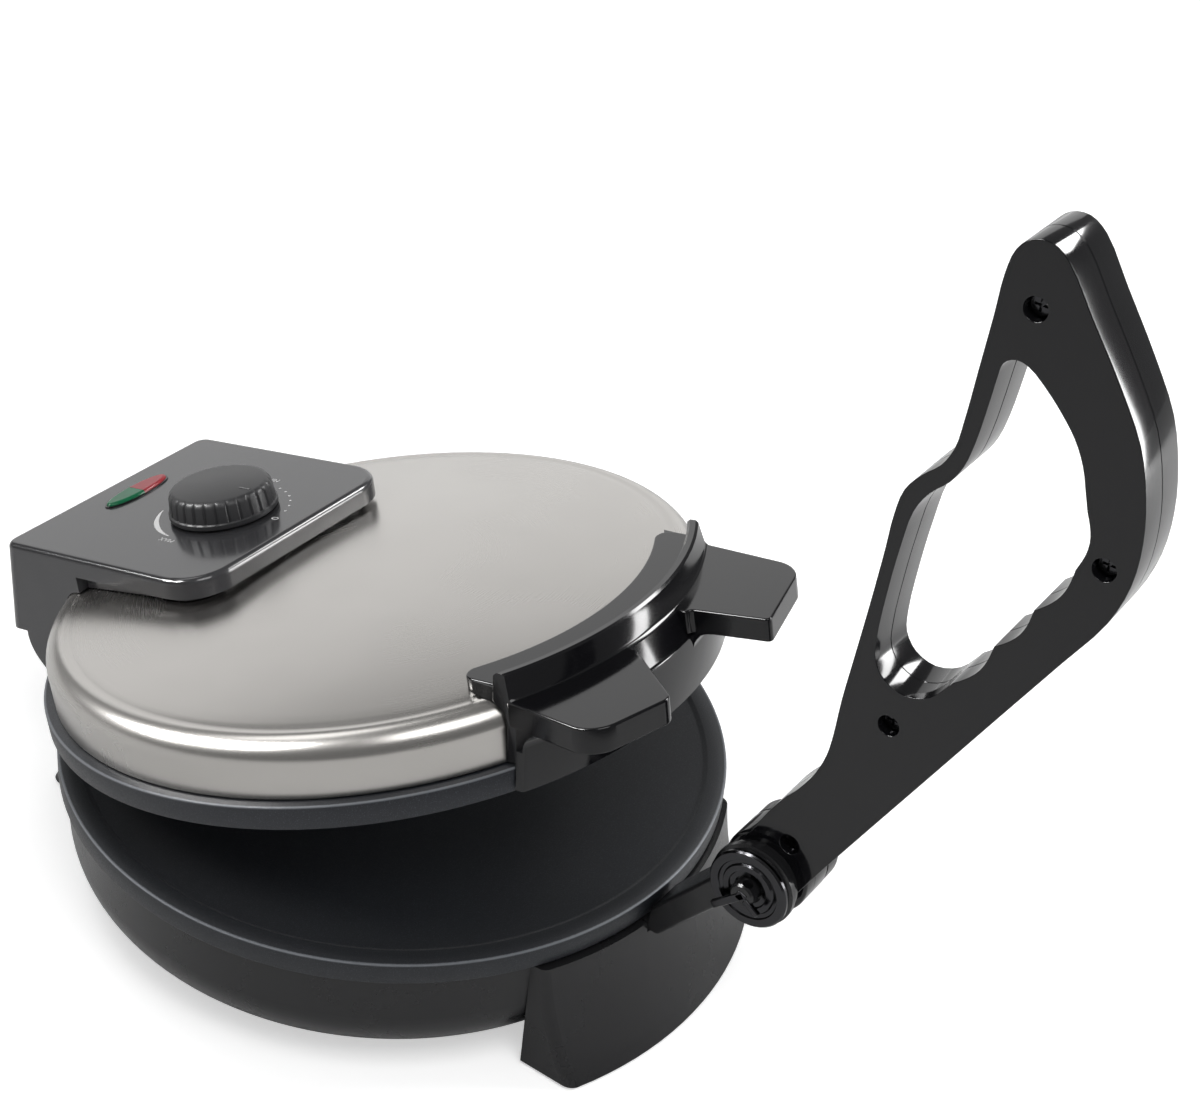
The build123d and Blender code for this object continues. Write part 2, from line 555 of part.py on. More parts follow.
def pivot_cap():
    """Dished washer between the arm hub and the split pin."""
    x1 = ARM_NEAR_X - 0.05
    x0 = x1 - CAP_T
    cap = rod_x(COLLAR_R, x0, x1, PIVOT_Y, PIVOT_Z)
    cap = fillet(cap.edges().filter_by(GeomType.CIRCLE), 0.7)
    cap -= rod_x(CAP_RECESS_R, x0 - 1, x0 + CAP_RECESS, PIVOT_Y, PIVOT_Z)
    return cap - rod_x(SHAFT_R + 0.1, x0 - 1, x1 + 1, PIVOT_Y, PIVOT_Z)


def split_pin():
    """Half round wire pin: eye on one side of the shaft, two legs bent apart on the other."""
    near = ARM_NEAR_X - CAP_T - SHAFT_PROUD + SPLIT_PIN_SET
    legs = []
    for sign, reach, bend in ((1, 9.8, 4.0), (-1, 5.6, 5.0)):
        offset_y = sign * SPLIT_PIN_R * 0.43
        path = FilletPolyline((0, offset_y, 7.4), (0, offset_y, -SHAFT_R - 1.3),
                              (0, offset_y + sign * reach, -SHAFT_R - 1.3 - bend), radius=1.6)
        start = Plane(origin=path @ 0, z_dir=path % 0)
        legs.append(sweep(start * Circle(SPLIT_PIN_R * 0.48), path))
    eye = Pos(0, 0, 9.4) * Rot(0, 90, 0) * Torus(2.1, SPLIT_PIN_R * 0.48)
    pin = fuse([legs[0], legs[1], eye])
    return Pos(near, PIVOT_Y, PIVOT_Z) * Rot(SPLIT_PIN_DEG, 0, 0) * pin


# ================================================================ press lever
# Outlines are in (p, q): p outwards from the pivot, q upwards, at rest.
LEVER_SIDE = (
    (10.5, -5.4), (3.6, -12.2), (-5.6, -12.4), (-12.2, -5.6), (-13.0, 4.0), (-6.9, 16.3), (2.5, 35.9),
    (9.4, 46.4), (14.6, 56.5), (17.6, 66.7), (18.6, 76.0), (19.2, 92.0), (20.8, 112.0), (22.6, 135.0),
    (24.0, 157.0), (24.6, 170.0), (26.4, 180.2), (31.0, 187.4), (36.6, 193.6), (40.0, 201.4), (41.2, 212.0),
    (42.2, 230.0), (43.3, 250.0), (43.8, 263.0), (45.6, 271.4), (49.4, 275.6), (54.7, 276.4), (60.4, 273.0),
    (70.4, 259.6), (84.0, 241.2), (94.0, 225.6), (99.4, 210.4), (102.2, 195.7), (102.2, 180.2),
    (98.2, 164.4), (87.8, 144.1), (73.2, 116.0), (55.4, 81.5), (37.6, 47.1), (22.6, 18.0),
)
WINDOW_TOP = ((47.4, 229.0), (48.4, 235.4), (51.9, 237.9), (56.4, 237.2), (63.2, 232.4), (69.3, 226.8),
              (75.2, 220.2), (79.6, 212.6), (82.4, 204.6), (84.4, 198.6))
WINDOW_CUSPS = ((84.4, 198.6), (85.4, 177.9), (75.8, 157.8), (66.0, 138.8), (55.4, 118.6))
WINDOW_LOW = ((55.4, 118.6), (48.8, 109.2), (40.3, 105.4), (32.2, 107.6), (27.4, 113.6), (26.2, 122.0),
              (26.6, 141.0), (28.0, 160.0), (29.9, 174.2), (34.0, 182.9), (39.8, 189.6), (43.2, 196.6),
              (45.2, 206.0), (46.6, 219.0), (47.4, 229.0))
WINDOW_SCALLOP = 2.6       # depth of the finger hollows
BLADE_POCKET = ((-5.5, 6.5), (4.4, 25.0), (13.0, 43.5), (20.5, 57.5), (22.0, 78.0), (23.6, 101.0),
                (37.5, 101.0), (55.0, 101.0), (36.5, 66.0), (17.5, 30.0), (6.5, 6.5))
GRIP_POCKET = ((89.5, 165.0), (95.6, 181.0), (95.8, 196.0), (92.4, 209.0), (87.0, 221.5), (80.0, 232.0),
               (74.5, 227.0), (83.0, 215.0), (88.5, 201.0), (90.0, 188.0), (87.5, 174.0))


def lever_plane(points):
    """(p, q) points as local points of the YZ plane at the pivot."""
    return [(-p, q) for p, q in points]


def lever_half_width(q):
    """The lever grows thicker from the hub to the grip."""
    return LEVER_HUB_HALF + (LEVER_TIP_HALF - LEVER_HUB_HALF) * q / LEVER_TIP_Q


def lever_wedge(skin):
    """Everything between the parting face and the sloping side face, less skin."""
    low, high = -40.0, 320.0
    points = [(low, 0.05), (high, 0.05), (high, lever_half_width(high) - skin),
              (low, lever_half_width(low) - skin)]
    face = make_face(Polyline(*[(x, q) for q, x in points], close=True))
    return Pos(0, -45, 0) * extrude(Plane.XZ * face, 125, both=True)


def window_face():
    """Finger window: smooth top and hub side, hollows for four fingers on the outer side."""
    edges = [Spline(*lever_plane(WINDOW_TOP))]
    for start, end in zip(WINDOW_CUSPS, WINDOW_CUSPS[1:]):
        run = hypot(end[0] - start[0], end[1] - start[1])
        out_p, out_q = (start[1] - end[1]) / run, (end[0] - start[0]) / run
        middle = ((start[0] + end[0]) / 2 + out_p * WINDOW_SCALLOP,
                  (start[1] + end[1]) / 2 + out_q * WINDOW_SCALLOP)
        edges.append(ThreePointArc(*lever_plane((start, middle, end))))
    edges.append(Spline(*lever_plane(WINDOW_LOW)))
    return make_face(edges)


def lever_outline():
    """Side outline of the lever: the edge of the flat side face moved out by the edge rounding."""
    inner = Spline(*lever_plane(LEVER_SIDE), periodic=True)
    count = 60
    points = []
    for index in range(count):
        point = inner @ (index / count)
        along = inner % (index / count)
        points.append((point.X + along.Y * LEVER_EDGE_R, point.Y - along.X * LEVER_EDGE_R))
    return make_face(Spline(*points, periodic=True))


def lever_half(near):
    """One moulded half of the lever, hollowed, with screw bosses; drawn on +X and mirrored if near."""
    body = extrude(Plane.YZ * (lever_outline() - window_face()), 30) & lever_wedge(0)
    side = body.faces().filter_by(GeomType.PLANE).sort_by(Axis.X)[-1]
    body = fillet(side.inner_wires()[0].edges(), WINDOW_EDGE_R)
    side = body.faces().filter_by(GeomType.PLANE).sort_by(Axis.X)[-1]
    body = fillet(side.outer_wire().edges(), LEVER_EDGE_R - 0.2)
    pockets = [extrude(Plane.YZ * make_face(Polyline(*lever_plane(points), close=True)), 30)
               for points in (BLADE_POCKET, GRIP_POCKET)]
    body -= fuse(pockets) & lever_wedge(LEVER_FACE_T)
    for index, (p, q) in enumerate(LEVER_HOLES):
        half = lever_half_width(q)
        inner = 0.05 if index < 2 else CORE_T / 2 + 0.1
        body += rod_x(LEVER_BOSS_R, inner, half - 1, -p, q)
        if near:
            body -= rod_x(LEVER_HOLE_R, half - LEVER_HOLE_DEPTH, half + 2, -p, q)
            body -= rod_x(LEVER_SCREW_R + 0.25, -1, half, -p, q)
        else:
            body -= rod_x(LEVER_SCREW_R - 0.2, -1, half - 2.5, -p, q)
    body -= lever_core_shape(0.2) & block(-1, CORE_T / 2 + 0.15, -60, 30, -30, 120)
    hub = rod_x(LEVER_HUB_R, 0.05, LEVER_HUB_HALF - LEVER_HUB_STEP * near, 0, 0)
    body += fillet(hub.edges().filter_by(GeomType.CIRCLE).group_by(Axis.X)[-1], 1.4)
    body -= lever_core_shape(0.2) & block(-1, CORE_T / 2 + 0.15, -60, 30, -30, 120)
    body -= rod_x(BUSH_R, -1, 20, 0, 0)
    if near:
        body = mirror(body, Plane.YZ)
    return Pos(0, PIVOT_Y, PIVOT_Z) * body


def lever_core_shape(grow):
    """Outline body of the steel strip, with play all round."""
    angle = degrees(atan2(LEVER_HOLES[2][0], LEVER_HOLES[2][1]))
    length = hypot(*LEVER_HOLES[2])
    strip = SlotCenterToCenter(length, CORE_W + 2 * grow)
    laid = Plane.YZ * Rot(0, 0, 90 + angle) * Pos(length / 2, 0) * strip
    shape = extrude(laid, CORE_T / 2 + grow, both=True)
    return shape + rod_x(BUSH_R + 2.6 + grow, -CORE_T / 2 - grow, CORE_T / 2 + grow, 0, 0)


def lever_core():
    """Steel strip clamped between the halves from the pivot up the blade."""
    core = lever_core_shape(0) - rod_x(BUSH_R, -5, 5, 0, 0)
    for p, q in LEVER_HOLES[2:]:
        core -= rod_x(LEVER_SCREW_R + 0.3, -5, 5, -p, q)
    return Pos(0, PIVOT_Y, PIVOT_Z) * core


def lever_bush():
    """Steel bush the lever turns on."""
    tube = rod_x(BUSH_R - 0.02, -LEVER_HUB_HALF + 0.2, LEVER_HUB_HALF - 0.2, PIVOT_Y, PIVOT_Z)
    return tube - rod_x(SHAFT_R + SHAFT_RUN_FIT, -20, 20, PIVOT_Y, PIVOT_Z)


def lever_screws():
    """Four pan head screws at the bottom of the holes in the near half."""
    screws = []
    for p, q in LEVER_HOLES:
        half = lever_half_width(q)
        seat = -(half - LEVER_HOLE_DEPTH)
        head = rod_x(LEVER_SCREW_HEAD_R, seat - 2.0, seat, -p, q)
        head -= block(seat - 3, seat - 1.1, -p - 2.2, -p + 2.2, q - 0.45, q + 0.45)
        head -= block(seat - 3, seat - 1.1, -p - 0.45, -p + 0.45, q - 2.2, q + 2.2)
        screws.append(head + rod_x(LEVER_SCREW_R - 0.25, seat, half - 3.5, -p, q))
    return Pos(0, PIVOT_Y, PIVOT_Z) * Compound(children=screws)


# ================================================================ hinge
def hinge_bracket():
    """Casting on the rear foot with two upright lugs for the lid pins."""
    base_z = REAR_FOOT_TOP_Z
    out_x = CHEEK_IN_X - LUG_PLAY
    body = block(-out_x, out_x, BOWL_TOP_R - 14, BLOCK_REAR_Y, base_z, base_z + 16)
    rear = body.edges().filter_by(Axis.Z).group_by(Axis.Y)[-1]
    body = fillet(rear, 4)
    for side in (-1, 1):
        x0, x1 = sorted((side * LUG_IN_X, side * out_x))
        outline = Polyline((HINGE_Y - LUG_R, base_z + 1), (BLOCK_REAR_Y - 1.5, base_z + 1),
                           (HINGE_Y + LUG_R, HINGE_Z), (HINGE_Y - LUG_R, HINGE_Z), close=True)
        body += yz_solid(outline, x0, x1) + rod_x(LUG_R, x0, x1, HINGE_Y, HINGE_Z)
    body -= spun(bowl_outline(-BLOCK_FIT)) + rod_z(BOWL_TOP_R + BLOCK_FIT, RIM_TOP_Z - 20, 99, 0, 0)
    body -= rod_x(PIN_R, -60, 60, HINGE_Y, HINGE_Z)
    for x in (-BLOCK_SCREW_X, BLOCK_SCREW_X):
        body -= Pos(x, BOWL_TOP_R - 2, BLOCK_SCREW_Z) * Rot(90, 0, 0) * Cylinder(BLOCK_SCREW_R - 0.15, 20)
    return body


def hinge_bracket_screws():
    """Two screws driven outwards from inside the bowl."""
    screws = []
    for x in (-BLOCK_SCREW_X, BLOCK_SCREW_X):
        wall_y = sqrt((BOWL_SHOULDER_R - BOWL_WALL) ** 2 - x * x) - 1.4
        head = Pos(x, wall_y - 1.3, BLOCK_SCREW_Z) * Rot(90, 0, 0) * Cylinder(3.6, 2.6)
        shank = Pos(x, wall_y + 6.2, BLOCK_SCREW_Z) * Rot(90, 0, 0) * Cylinder(BLOCK_SCREW_R - 0.2, 12.6)
        screws.append(head + shank)
    return Compound(children=screws)


def hinge_pins():
    """Two headed pins pushed outwards through the lugs into the ribs of the control box."""
    pins = []
    for side in (-1, 1):
        inner = LUG_IN_X - 0.05
        shank = rod_x(PIN_R, *sorted((side * inner, side * (CHEEK_OUT_X - 0.3))), HINGE_Y, HINGE_Z)
        head = rod_x(PIN_HEAD_R, *sorted((side * (inner - PIN_HEAD_T), side * inner)), HINGE_Y, HINGE_Z)
        pins.append(shank + head)
    return Compound(children=pins)


# ================================================================ lid, drawn shut in its own frame
def dome_z(radius):
    """Outer height of the domed top at a radius."""
    flat_r = SHELL_R - SHOULDER_R
    curve = (flat_r ** 2 + DOME_RISE ** 2) / (2 * DOME_RISE)
    return SHELL_SIDE_TOP + SHOULDER_R + DOME_RISE - curve + sqrt(curve ** 2 - radius ** 2)


def shell_face(grow, bottom):
    """Lid outline from the axis to the side wall, grown outwards."""
    flat_r = SHELL_R - SHOULDER_R
    side_r = SHELL_R + grow
    knee = SHOULDER_R + grow
    top = SHELL_SIDE_TOP + knee
    bend = (flat_r + knee * cos(radians(45)), SHELL_SIDE_TOP + knee * sin(radians(45)))
    return Plane.XZ * make_face([
        Line((0, bottom), (side_r, bottom)),
        Line((side_r, bottom), (side_r, SHELL_SIDE_TOP)),
        ThreePointArc((side_r, SHELL_SIDE_TOP), bend, (flat_r, top)),
        ThreePointArc((flat_r, top), (flat_r / 2, dome_z(flat_r / 2) + grow), (0, dome_z(0) + grow)),
        Line((0, dome_z(0) + grow), (0, bottom)),
    ])


def box_screw_points():
    """Where the control box is screwed down through the steel top."""
    return [(-44.0, 60.0), (44.0, 60.0), (-44.0, 100.0), (44.0, 100.0)]


def lid_shell():
    """Spun steel lid with holes for the box, its wiring and the handle screws."""
    body = spun(shell_face(0, SHELL_BOTTOM)) - spun(shell_face(-SHELL_T, SHELL_BOTTOM - 1))
    for x, y in box_screw_points():
        body -= rod_z(2.0, 20, 60, x, y)
    body -= block(-15.5, 15.5, KNOB_Y - 12.5, KNOB_Y + 12.5, 20, 60)
    body -= rod_z(6.0, 20, 60, 0, 104.0)
    for angle in (-90 - HANDLE_SCREW_DEG, -90 + HANDLE_SCREW_DEG):
        hole = Rot(0, 90, 0) * Cylinder(HANDLE_SCREW_R + 0.3, 30)
        body -= Rot(0, 0, angle) * Pos(SHELL_R, 0, HANDLE_SCREW_Z) * hole
    return body


def lid_posts():
    """Four posts welded under the steel top that the upper plate is screwed to."""
    z0 = CLOSED_GAP - SHIELD_TOP + SHIELD_T
    top = dome_z(PLATE_BOSS_RING_R + 6) - SHELL_T
    posts = []
    for x, y in ring_points(PLATE_BOSS_RING_R, PLATE_BOLT_ANGLES):
        posts.append(rod_z(4.6, z0, top - 0.4, x, y) + rod_z(PLATE_BOLT_R - 0.25, z0 - 7, z0, x, y))
    return Compound(children=posts)


def handle_main_face():
    """Section of the lid handle: flange, ridge, ledge and skirt around the lid edge."""
    fit = HANDLE_FIT
    flat_r = SHELL_R - SHOULDER_R
    knee = SHOULDER_R + fit
    bend = (flat_r + knee * cos(radians(45)), SHELL_SIDE_TOP + knee * sin(radians(45)))
    flange_top = dome_z(FLANGE_IN_R) + FLANGE_T
    under = dome_z(FLANGE_IN_R) + fit
    return Plane.XZ * make_face([
        Line((FLANGE_IN_R, under), (FLANGE_IN_R + 0.6, flange_top - 0.3)),
        Line((FLANGE_IN_R + 0.6, flange_top - 0.3), (FLANGE_IN_R + 1.2, flange_top)),
        Line((FLANGE_IN_R + 1.2, flange_top), (RIDGE_IN_R, flange_top - 0.9)),
        Line((RIDGE_IN_R, flange_top - 0.9), (RIDGE_IN_R + 0.5, RIDGE_TOP - 1.0)),
        ThreePointArc((RIDGE_IN_R + 0.5, RIDGE_TOP - 1.0), (RIDGE_IN_R + 1.9, RIDGE_TOP),
                      (RIDGE_OUT_R - 0.3, RIDGE_TOP - 0.8)),
        Line((RIDGE_OUT_R - 0.3, RIDGE_TOP - 0.8), (RIDGE_OUT_R, EAR_TOP)),
        Line((RIDGE_OUT_R, EAR_TOP), (SLOT_ROOT_R, EAR_TOP)),
        Line((SLOT_ROOT_R, EAR_TOP), (SLOT_ROOT_R, SKIRT_LEDGE)),
        Line((SLOT_ROOT_R, SKIRT_LEDGE), (SKIRT_R + 0.4, SKIRT_LEDGE - 0.6)),
        Line((SKIRT_R + 0.4, SKIRT_LEDGE - 0.6), (SKIRT_R - 0.4, SKIRT_BOTTOM)),
        Line((SKIRT_R - 0.4, SKIRT_BOTTOM), (SKIRT_IN_R, SKIRT_BOTTOM)),
        Line((SKIRT_IN_R, SKIRT_BOTTOM), (SKIRT_IN_R, SHELL_BOTTOM + 0.6)),
        Line((SKIRT_IN_R, SHELL_BOTTOM + 0.6), (SHELL_R + fit, SHELL_BOTTOM + 0.6)),
        Line((SHELL_R + fit, SHELL_BOTTOM + 0.6), (SHELL_R + fit, SHELL_SIDE_TOP)),
        ThreePointArc((SHELL_R + fit, SHELL_SIDE_TOP), bend, (flat_r, SHELL_SIDE_TOP + knee)),
        Line((flat_r, SHELL_SIDE_TOP + knee), (FLANGE_IN_R, under)),
    ])


def ear(points, radii):
    """One lifting ear: flat tab with its corners rounded one by one."""
    tab = Pos(0, 0, EAR_TOP - EAR_T) * extrude(make_face(Polyline(*points, close=True)), EAR_T)
    for index, radius in radii:
        x, y = points[index]
        edge = tab.edges().filter_by(Axis.Z).sort_by(lambda e: hypot(e.center().X - x, e.center().Y - y))[0]
        tab = fillet(edge, radius)
    return tab


EAR_NEAR = ((-63.2, 19.2 - SHELL_R), (-70.8, -26.8 - SHELL_R), (-38.5, -37.8 - SHELL_R),
            (-16.5, -9.8 - SHELL_R), (-16.5, -1.8 - SHELL_R))
EAR_NEAR_R = ((1, 11.0), (2, 3.4))
EAR_FAR = ((70.0, 18.2 - SHELL_R), (66.8, -28.6 - SHELL_R), (24.0, -40.0 - SHELL_R),
           (20.2, -9.8 - SHELL_R), (20.2, -1.8 - SHELL_R))
EAR_FAR_R = ((1, 11.0), (2, 2.6))


def handle_flange():
    """Thin flange on the steel top, wider than the skirt, with rounded inner corners."""
    inner = dome_z(FLANGE_IN_R)
    ring = spun(rz_face([
        (FLANGE_IN_R, inner - 2), (FLANGE_IN_R, inner + FLANGE_T - 0.6),
        (FLANGE_IN_R + 0.6, inner + FLANGE_T),
        (RIDGE_IN_R, inner + FLANGE_T - 0.9), (RIDGE_IN_R, SHELL_SIDE_TOP + SHOULDER_R - 2)]), -90, 60)
    start = (FLANGE_NEAR_X, -sqrt(FLANGE_IN_R ** 2 - FLANGE_NEAR_X ** 2))
    end = (FLANGE_FAR_X, -sqrt(FLANGE_IN_R ** 2 - FLANGE_FAR_X ** 2))
    out = -SHELL_R - 20
    plan = make_face([ThreePointArc(start, (0, -FLANGE_IN_R), end), Line(end, (end[0], out)),
                      Line((end[0], out), (start[0], out)), Line((start[0], out), start)])
    corners = plan.vertices().sort_by(lambda v: v.Y)[-2:]
    return ring & extrude(fillet(corners, FLANGE_CORNER_R), 60)


def handle_span():
    """Everything between the two splayed end faces of the handle."""
    face = make_face(Polyline((HANDLE_NEAR_FOOT_X, SKIRT_BOTTOM - 1), (HANDLE_NEAR_TOP_X, RIDGE_TOP + 1),
                              (HANDLE_FAR_TOP_X, RIDGE_TOP + 1), (HANDLE_FAR_FOOT_X, SKIRT_BOTTOM - 1),
                              close=True))
    return extrude(Plane.XZ * face, SHELL_R + 30)


def handle_gusset(centre, half):
    """Hollow fillet that carries an ear on the skirt."""
    low = EAR_TOP - EAR_T
    in_r = SKIRT_R + 0.2
    out_r = SKIRT_R + GUSSET_R
    bend = (out_r - GUSSET_R * cos(radians(45)), low - GUSSET_R + GUSSET_R * sin(radians(45)))
    face = Plane.XZ * make_face([
        Line((in_r - 1, low - GUSSET_R), (in_r, low - GUSSET_R)),
        ThreePointArc((in_r, low - GUSSET_R), bend, (out_r, low)),
        Line((out_r, low), (out_r, low + 0.5)),
        Line((out_r, low + 0.5), (in_r - 1, low + 0.5)),
        Line((in_r - 1, low + 0.5), (in_r - 1, low - GUSSET_R)),
    ])
    return spun(face, centre, half)


def lid_handle():
    """Front moulding: flange on the steel top, curved ridge, skirt and two ears beside the lever slot."""
    body = spun(handle_main_face(), -90, 45) & handle_span()
    body += handle_flange() - spun(shell_face(HANDLE_FIT, 0))
    ring = spun(rz_face([(RIDGE_OUT_R - 1, 0), (200, 0), (200, 60), (RIDGE_OUT_R - 1, 60)]), -90, 60)
    for points, radii in ((EAR_NEAR, EAR_NEAR_R), (EAR_FAR, EAR_FAR_R)):
        tab = ear(points, radii) & ring
        outside = tab.edges().filter_by(lambda e: hypot(e.center().X, e.center().Y) > SKIRT_R + 3
                                        and e.bounding_box().size.Z < 0.1)
        body += fillet(outside, 0.9)
    body += handle_gusset(-90 - 18.0, 9.4) + handle_gusset(-90 + 19.2, 9.0)
    pocket_in = SHELL_R + 2.6
    pocket_out = SKIRT_R - 2.6
    pocket = rz_face([(pocket_in, 0), (pocket_out, 0), (pocket_out, 31.0), (pocket_in + 1, 31.0)])
    for centre, half in ((-90.0, 9.5), (-90.0 - 22.0, 4.6), (-90.0 + 22.0, 4.6)):
        body -= spun(pocket, centre, half)
    for angle in (-90 - HANDLE_SCREW_DEG, -90 + HANDLE_SCREW_DEG):
        hole = Rot(0, 90, 0) * Cylinder(HANDLE_SCREW_R - 0.15, 16)
        body -= Rot(0, 0, angle) * Pos(SHELL_R, 0, HANDLE_SCREW_Z) * hole
    return body


def handle_screws():
    """Two screws from inside the steel lid into the handle."""
    screws = []
    for angle in (-90 - HANDLE_SCREW_DEG, -90 + HANDLE_SCREW_DEG):
        head = Pos(-1.2, 0, 0) * Rot(0, 90, 0) * Cylinder(3.2, 2.0)
        shank = Pos(3.3, 0, 0) * Rot(0, 90, 0) * Cylinder(HANDLE_SCREW_R - 0.15, 7.2)
        screws.append(Rot(0, 0, angle) * Pos(SHELL_R - SHELL_T - 0.15, 0, HANDLE_SCREW_Z) * (head + shank))
    return Compound(children=screws)


# ================================================================ control box on the lid


def box_rear_y(z):
    """The rear wall leans outwards as it goes down."""
    return BOX_REAR_Y + (BOX_TOP - z) * LEAN


def box_prism(inset, z0, z1):
    """Outer form of the box moved inwards by inset: rounded in plan, with the leaning rear wall."""
    front = BOX_FRONT_Y + inset
    half = BOX_HALF_W - inset
    low_rear = box_rear_y(z0) - inset
    high_rear = box_rear_y(z1) - inset
    outline = Polyline((front, z0), (front, z1), (high_rear, z1), (low_rear, z0), close=True)
    prism = yz_solid(outline, -half, half)
    front_edges = prism.edges().filter_by(Axis.Z).group_by(Axis.Y)[0]
    prism = fillet(front_edges, BOX_CORNER_R - inset)
    rear_edges = prism.edges().filter_by(lambda e: e.center().Y > high_rear - 1
                                         and abs(abs(e.center().X) - half) < 0.1
                                         and e.bounding_box().size.Z > 1)
    return fillet(rear_edges, max(BOX_REAR_CORNER_R - inset, 1.0))


def hinge_lobe():
    """Side wall outline that hangs down over the hinge, in (y, z)."""
    y = HINGE_LID_Y
    return [
        Line((y - 10.3, 16), (y - 9.8, -4)),
        Spline((y - 9.8, -4), (y - 7.2, -9.6), (y - 2.4, -11.4), (y + 1.8, -10.5), (y + 5.6, -7.0),
               (y + 8.8, -2.2), (y + 10.4, 8)),
        Line((y + 10.4, 8), (y + 10.4, 16)),
        Line((y + 10.4, 16), (y - 10.3, 16)),
    ]


def hinge_rib(side):
    """Rib inside the box that reaches down to the hinge pin."""
    x0, x1 = sorted((side * CHEEK_IN_X, side * CHEEK_OUT_X))
    front = HINGE_LID_Y - CHEEK_R
    rear = HINGE_LID_Y + CHEEK_R
    outline = Polyline((front, 36), (front, HINGE_LID_Z), (rear, HINGE_LID_Z), (HINGE_LID_Y + 15.6, 9),
                       (HINGE_LID_Y + 7.2, 38), (HINGE_LID_Y + 7.2, 48), (front, 48), close=True)
    return yz_solid(outline, x0, x1) + rod_x(CHEEK_R, x0, x1, HINGE_LID_Y, HINGE_LID_Z)


def gland_place():
    """Location on the leaning rear wall, local Z pointing outwards."""
    tilt = degrees(atan2(LEAN, 1.0))
    return Pos(GLAND_X, box_rear_y(GLAND_Z), GLAND_Z) * Rot(-90 + tilt, 0, 0)


def control_box():
    """Moulded box on the lid: lip round the front, deep rear part, ribs for the hinge pins."""
    upper = box_prism(0, LIP_BOTTOM, BOX_TOP)
    upper = fillet(upper.faces().sort_by(Axis.Z)[-1].edges(), BOX_EDGE_R)
    behind = BOX_REAR_Y + 30
    rear = box_prism(0, BOX_FOOT, LIP_BOTTOM + 1) & block(-70, 70, LIP_END_Y, behind, 0, 60)
    plinth = box_prism(PLINTH_INSET, 20, LIP_BOTTOM + 1) & block(-70, 70, 0, LIP_END_Y + 3, 0, 60)
    body = upper + rear + plinth
    ceiling = BOX_TOP - BOX_WALL
    body -= box_prism(BOX_WALL, LIP_BOTTOM + BOX_WALL, ceiling)
    body -= box_prism(PLINTH_INSET + BOX_WALL - 0.6, 10, ceiling) & block(-70, 70, 0, LIP_END_Y + 6, 0, 60)
    body -= box_prism(BOX_WALL, 0, ceiling) & block(-70, 70, LIP_END_Y + BOX_WALL, behind, 0, 60)
    for x, y in box_screw_points():
        body += rod_z(3.8, 30, ceiling + 0.5, x, y)
    for side in (-1, 1):
        x0, x1 = sorted((side * (BOX_HALF_W - BOX_WALL), side * BOX_HALF_W))
        body += Pos(x0, 0, 0) * extrude(Plane.YZ * make_face(hinge_lobe()), x1 - x0)
        body += hinge_rib(side)
        body -= rod_x(PIN_R + PIN_RUN_FIT, *sorted((side * 40, side * 56)), HINGE_LID_Y, HINGE_LID_Z)
    body -= spun(shell_face(BOX_TO_SHELL, 0))
    body -= rod_z(UPPER_PLATE_R + 0.8, -2, SHELL_BOTTOM + 0.4, 0, 0)
    for x, y in box_screw_points():
        body -= rod_z(1.55, 20, ceiling - 1, x, y)
    body -= rod_z(KNOB_SHAFT_R + KNOB_SHAFT_FIT, 40, 60, 0, KNOB_Y)
    body -= Pos(LENS_X, LENS_Y, 40) * extrude(lens_outline(-0.9), 20)
    body -= gland_place() * Cylinder(GLAND_R + 0.05, 20)
    return body


def lens_outline(grow):
    """Plan of both lenses together: an ellipse."""
    return Ellipse(LENS_HALF_L + grow, LENS_HALF_W + grow)


def lens(side):
    """One half of the split oval pilot light; its stem fills the hole in the box top."""
    cap = Pos(LENS_X, LENS_Y, BOX_TOP + 0.02) * extrude(lens_outline(0), LENS_PROUD)
    cap = fillet(cap.edges().group_by(Axis.Z)[-1], 1.3)
    stem = Pos(LENS_X, LENS_Y, BOX_TOP - BOX_WALL - 0.4) * extrude(lens_outline(-1.0), BOX_WALL + 0.6)
    split = LENS_X + side * LENS_SPLIT_GAP / 2
    half = block(split, split + side * 40, LENS_Y - 10, LENS_Y + 10, 30, 60)
    return (cap + stem) & half


def lamp_holder():
    """Carrier for the two pilot lamps, pressed up against the box ceiling."""
    top = BOX_TOP - BOX_WALL - 0.5
    body = block(LENS_X - 19, LENS_X + 19, LENS_Y - 7, LENS_Y + 5.5, 35.0, top)
    for x in (LENS_X - 8.5, LENS_X + 8.5):
        body -= rod_z(3.2, 38, top + 1, x, LENS_Y)
    return body


def thermostat_body():
    """Dial thermostat hung under the box top and reaching through the steel lid."""
    top = BOX_TOP - BOX_WALL - 0.05
    can = block(-14, 14, KNOB_Y - 11, KNOB_Y + 11, 26, 42)
    can = fillet(can.edges().filter_by(Axis.Z), 2.0)
    neck = rod_z(7.0, 42, top, 0, KNOB_Y)
    body = can + neck - rod_z(KNOB_SHAFT_R + KNOB_SHAFT_FIT, 36, 60, 0, KNOB_Y)
    for x in (-17.0, 17.0):
        body += block(min(x, x * 0.76), max(x, x * 0.76), KNOB_Y - 3, KNOB_Y + 3, 27, 28)
    return body


def thermostat_shaft():
    """Spindle that the knob is pushed on to."""
    top = BOX_TOP + KNOB_LIFT + KNOB_H - 2.6
    shaft = rod_z(KNOB_SHAFT_R, 36.4, top, 0, KNOB_Y)
    flat = block(-5, 5, KNOB_Y + 1.9, KNOB_Y + 5, BOX_TOP + 0.5, 80)
    return chamfer(shaft.edges().group_by(Axis.Z)[-1], 0.4) - flat


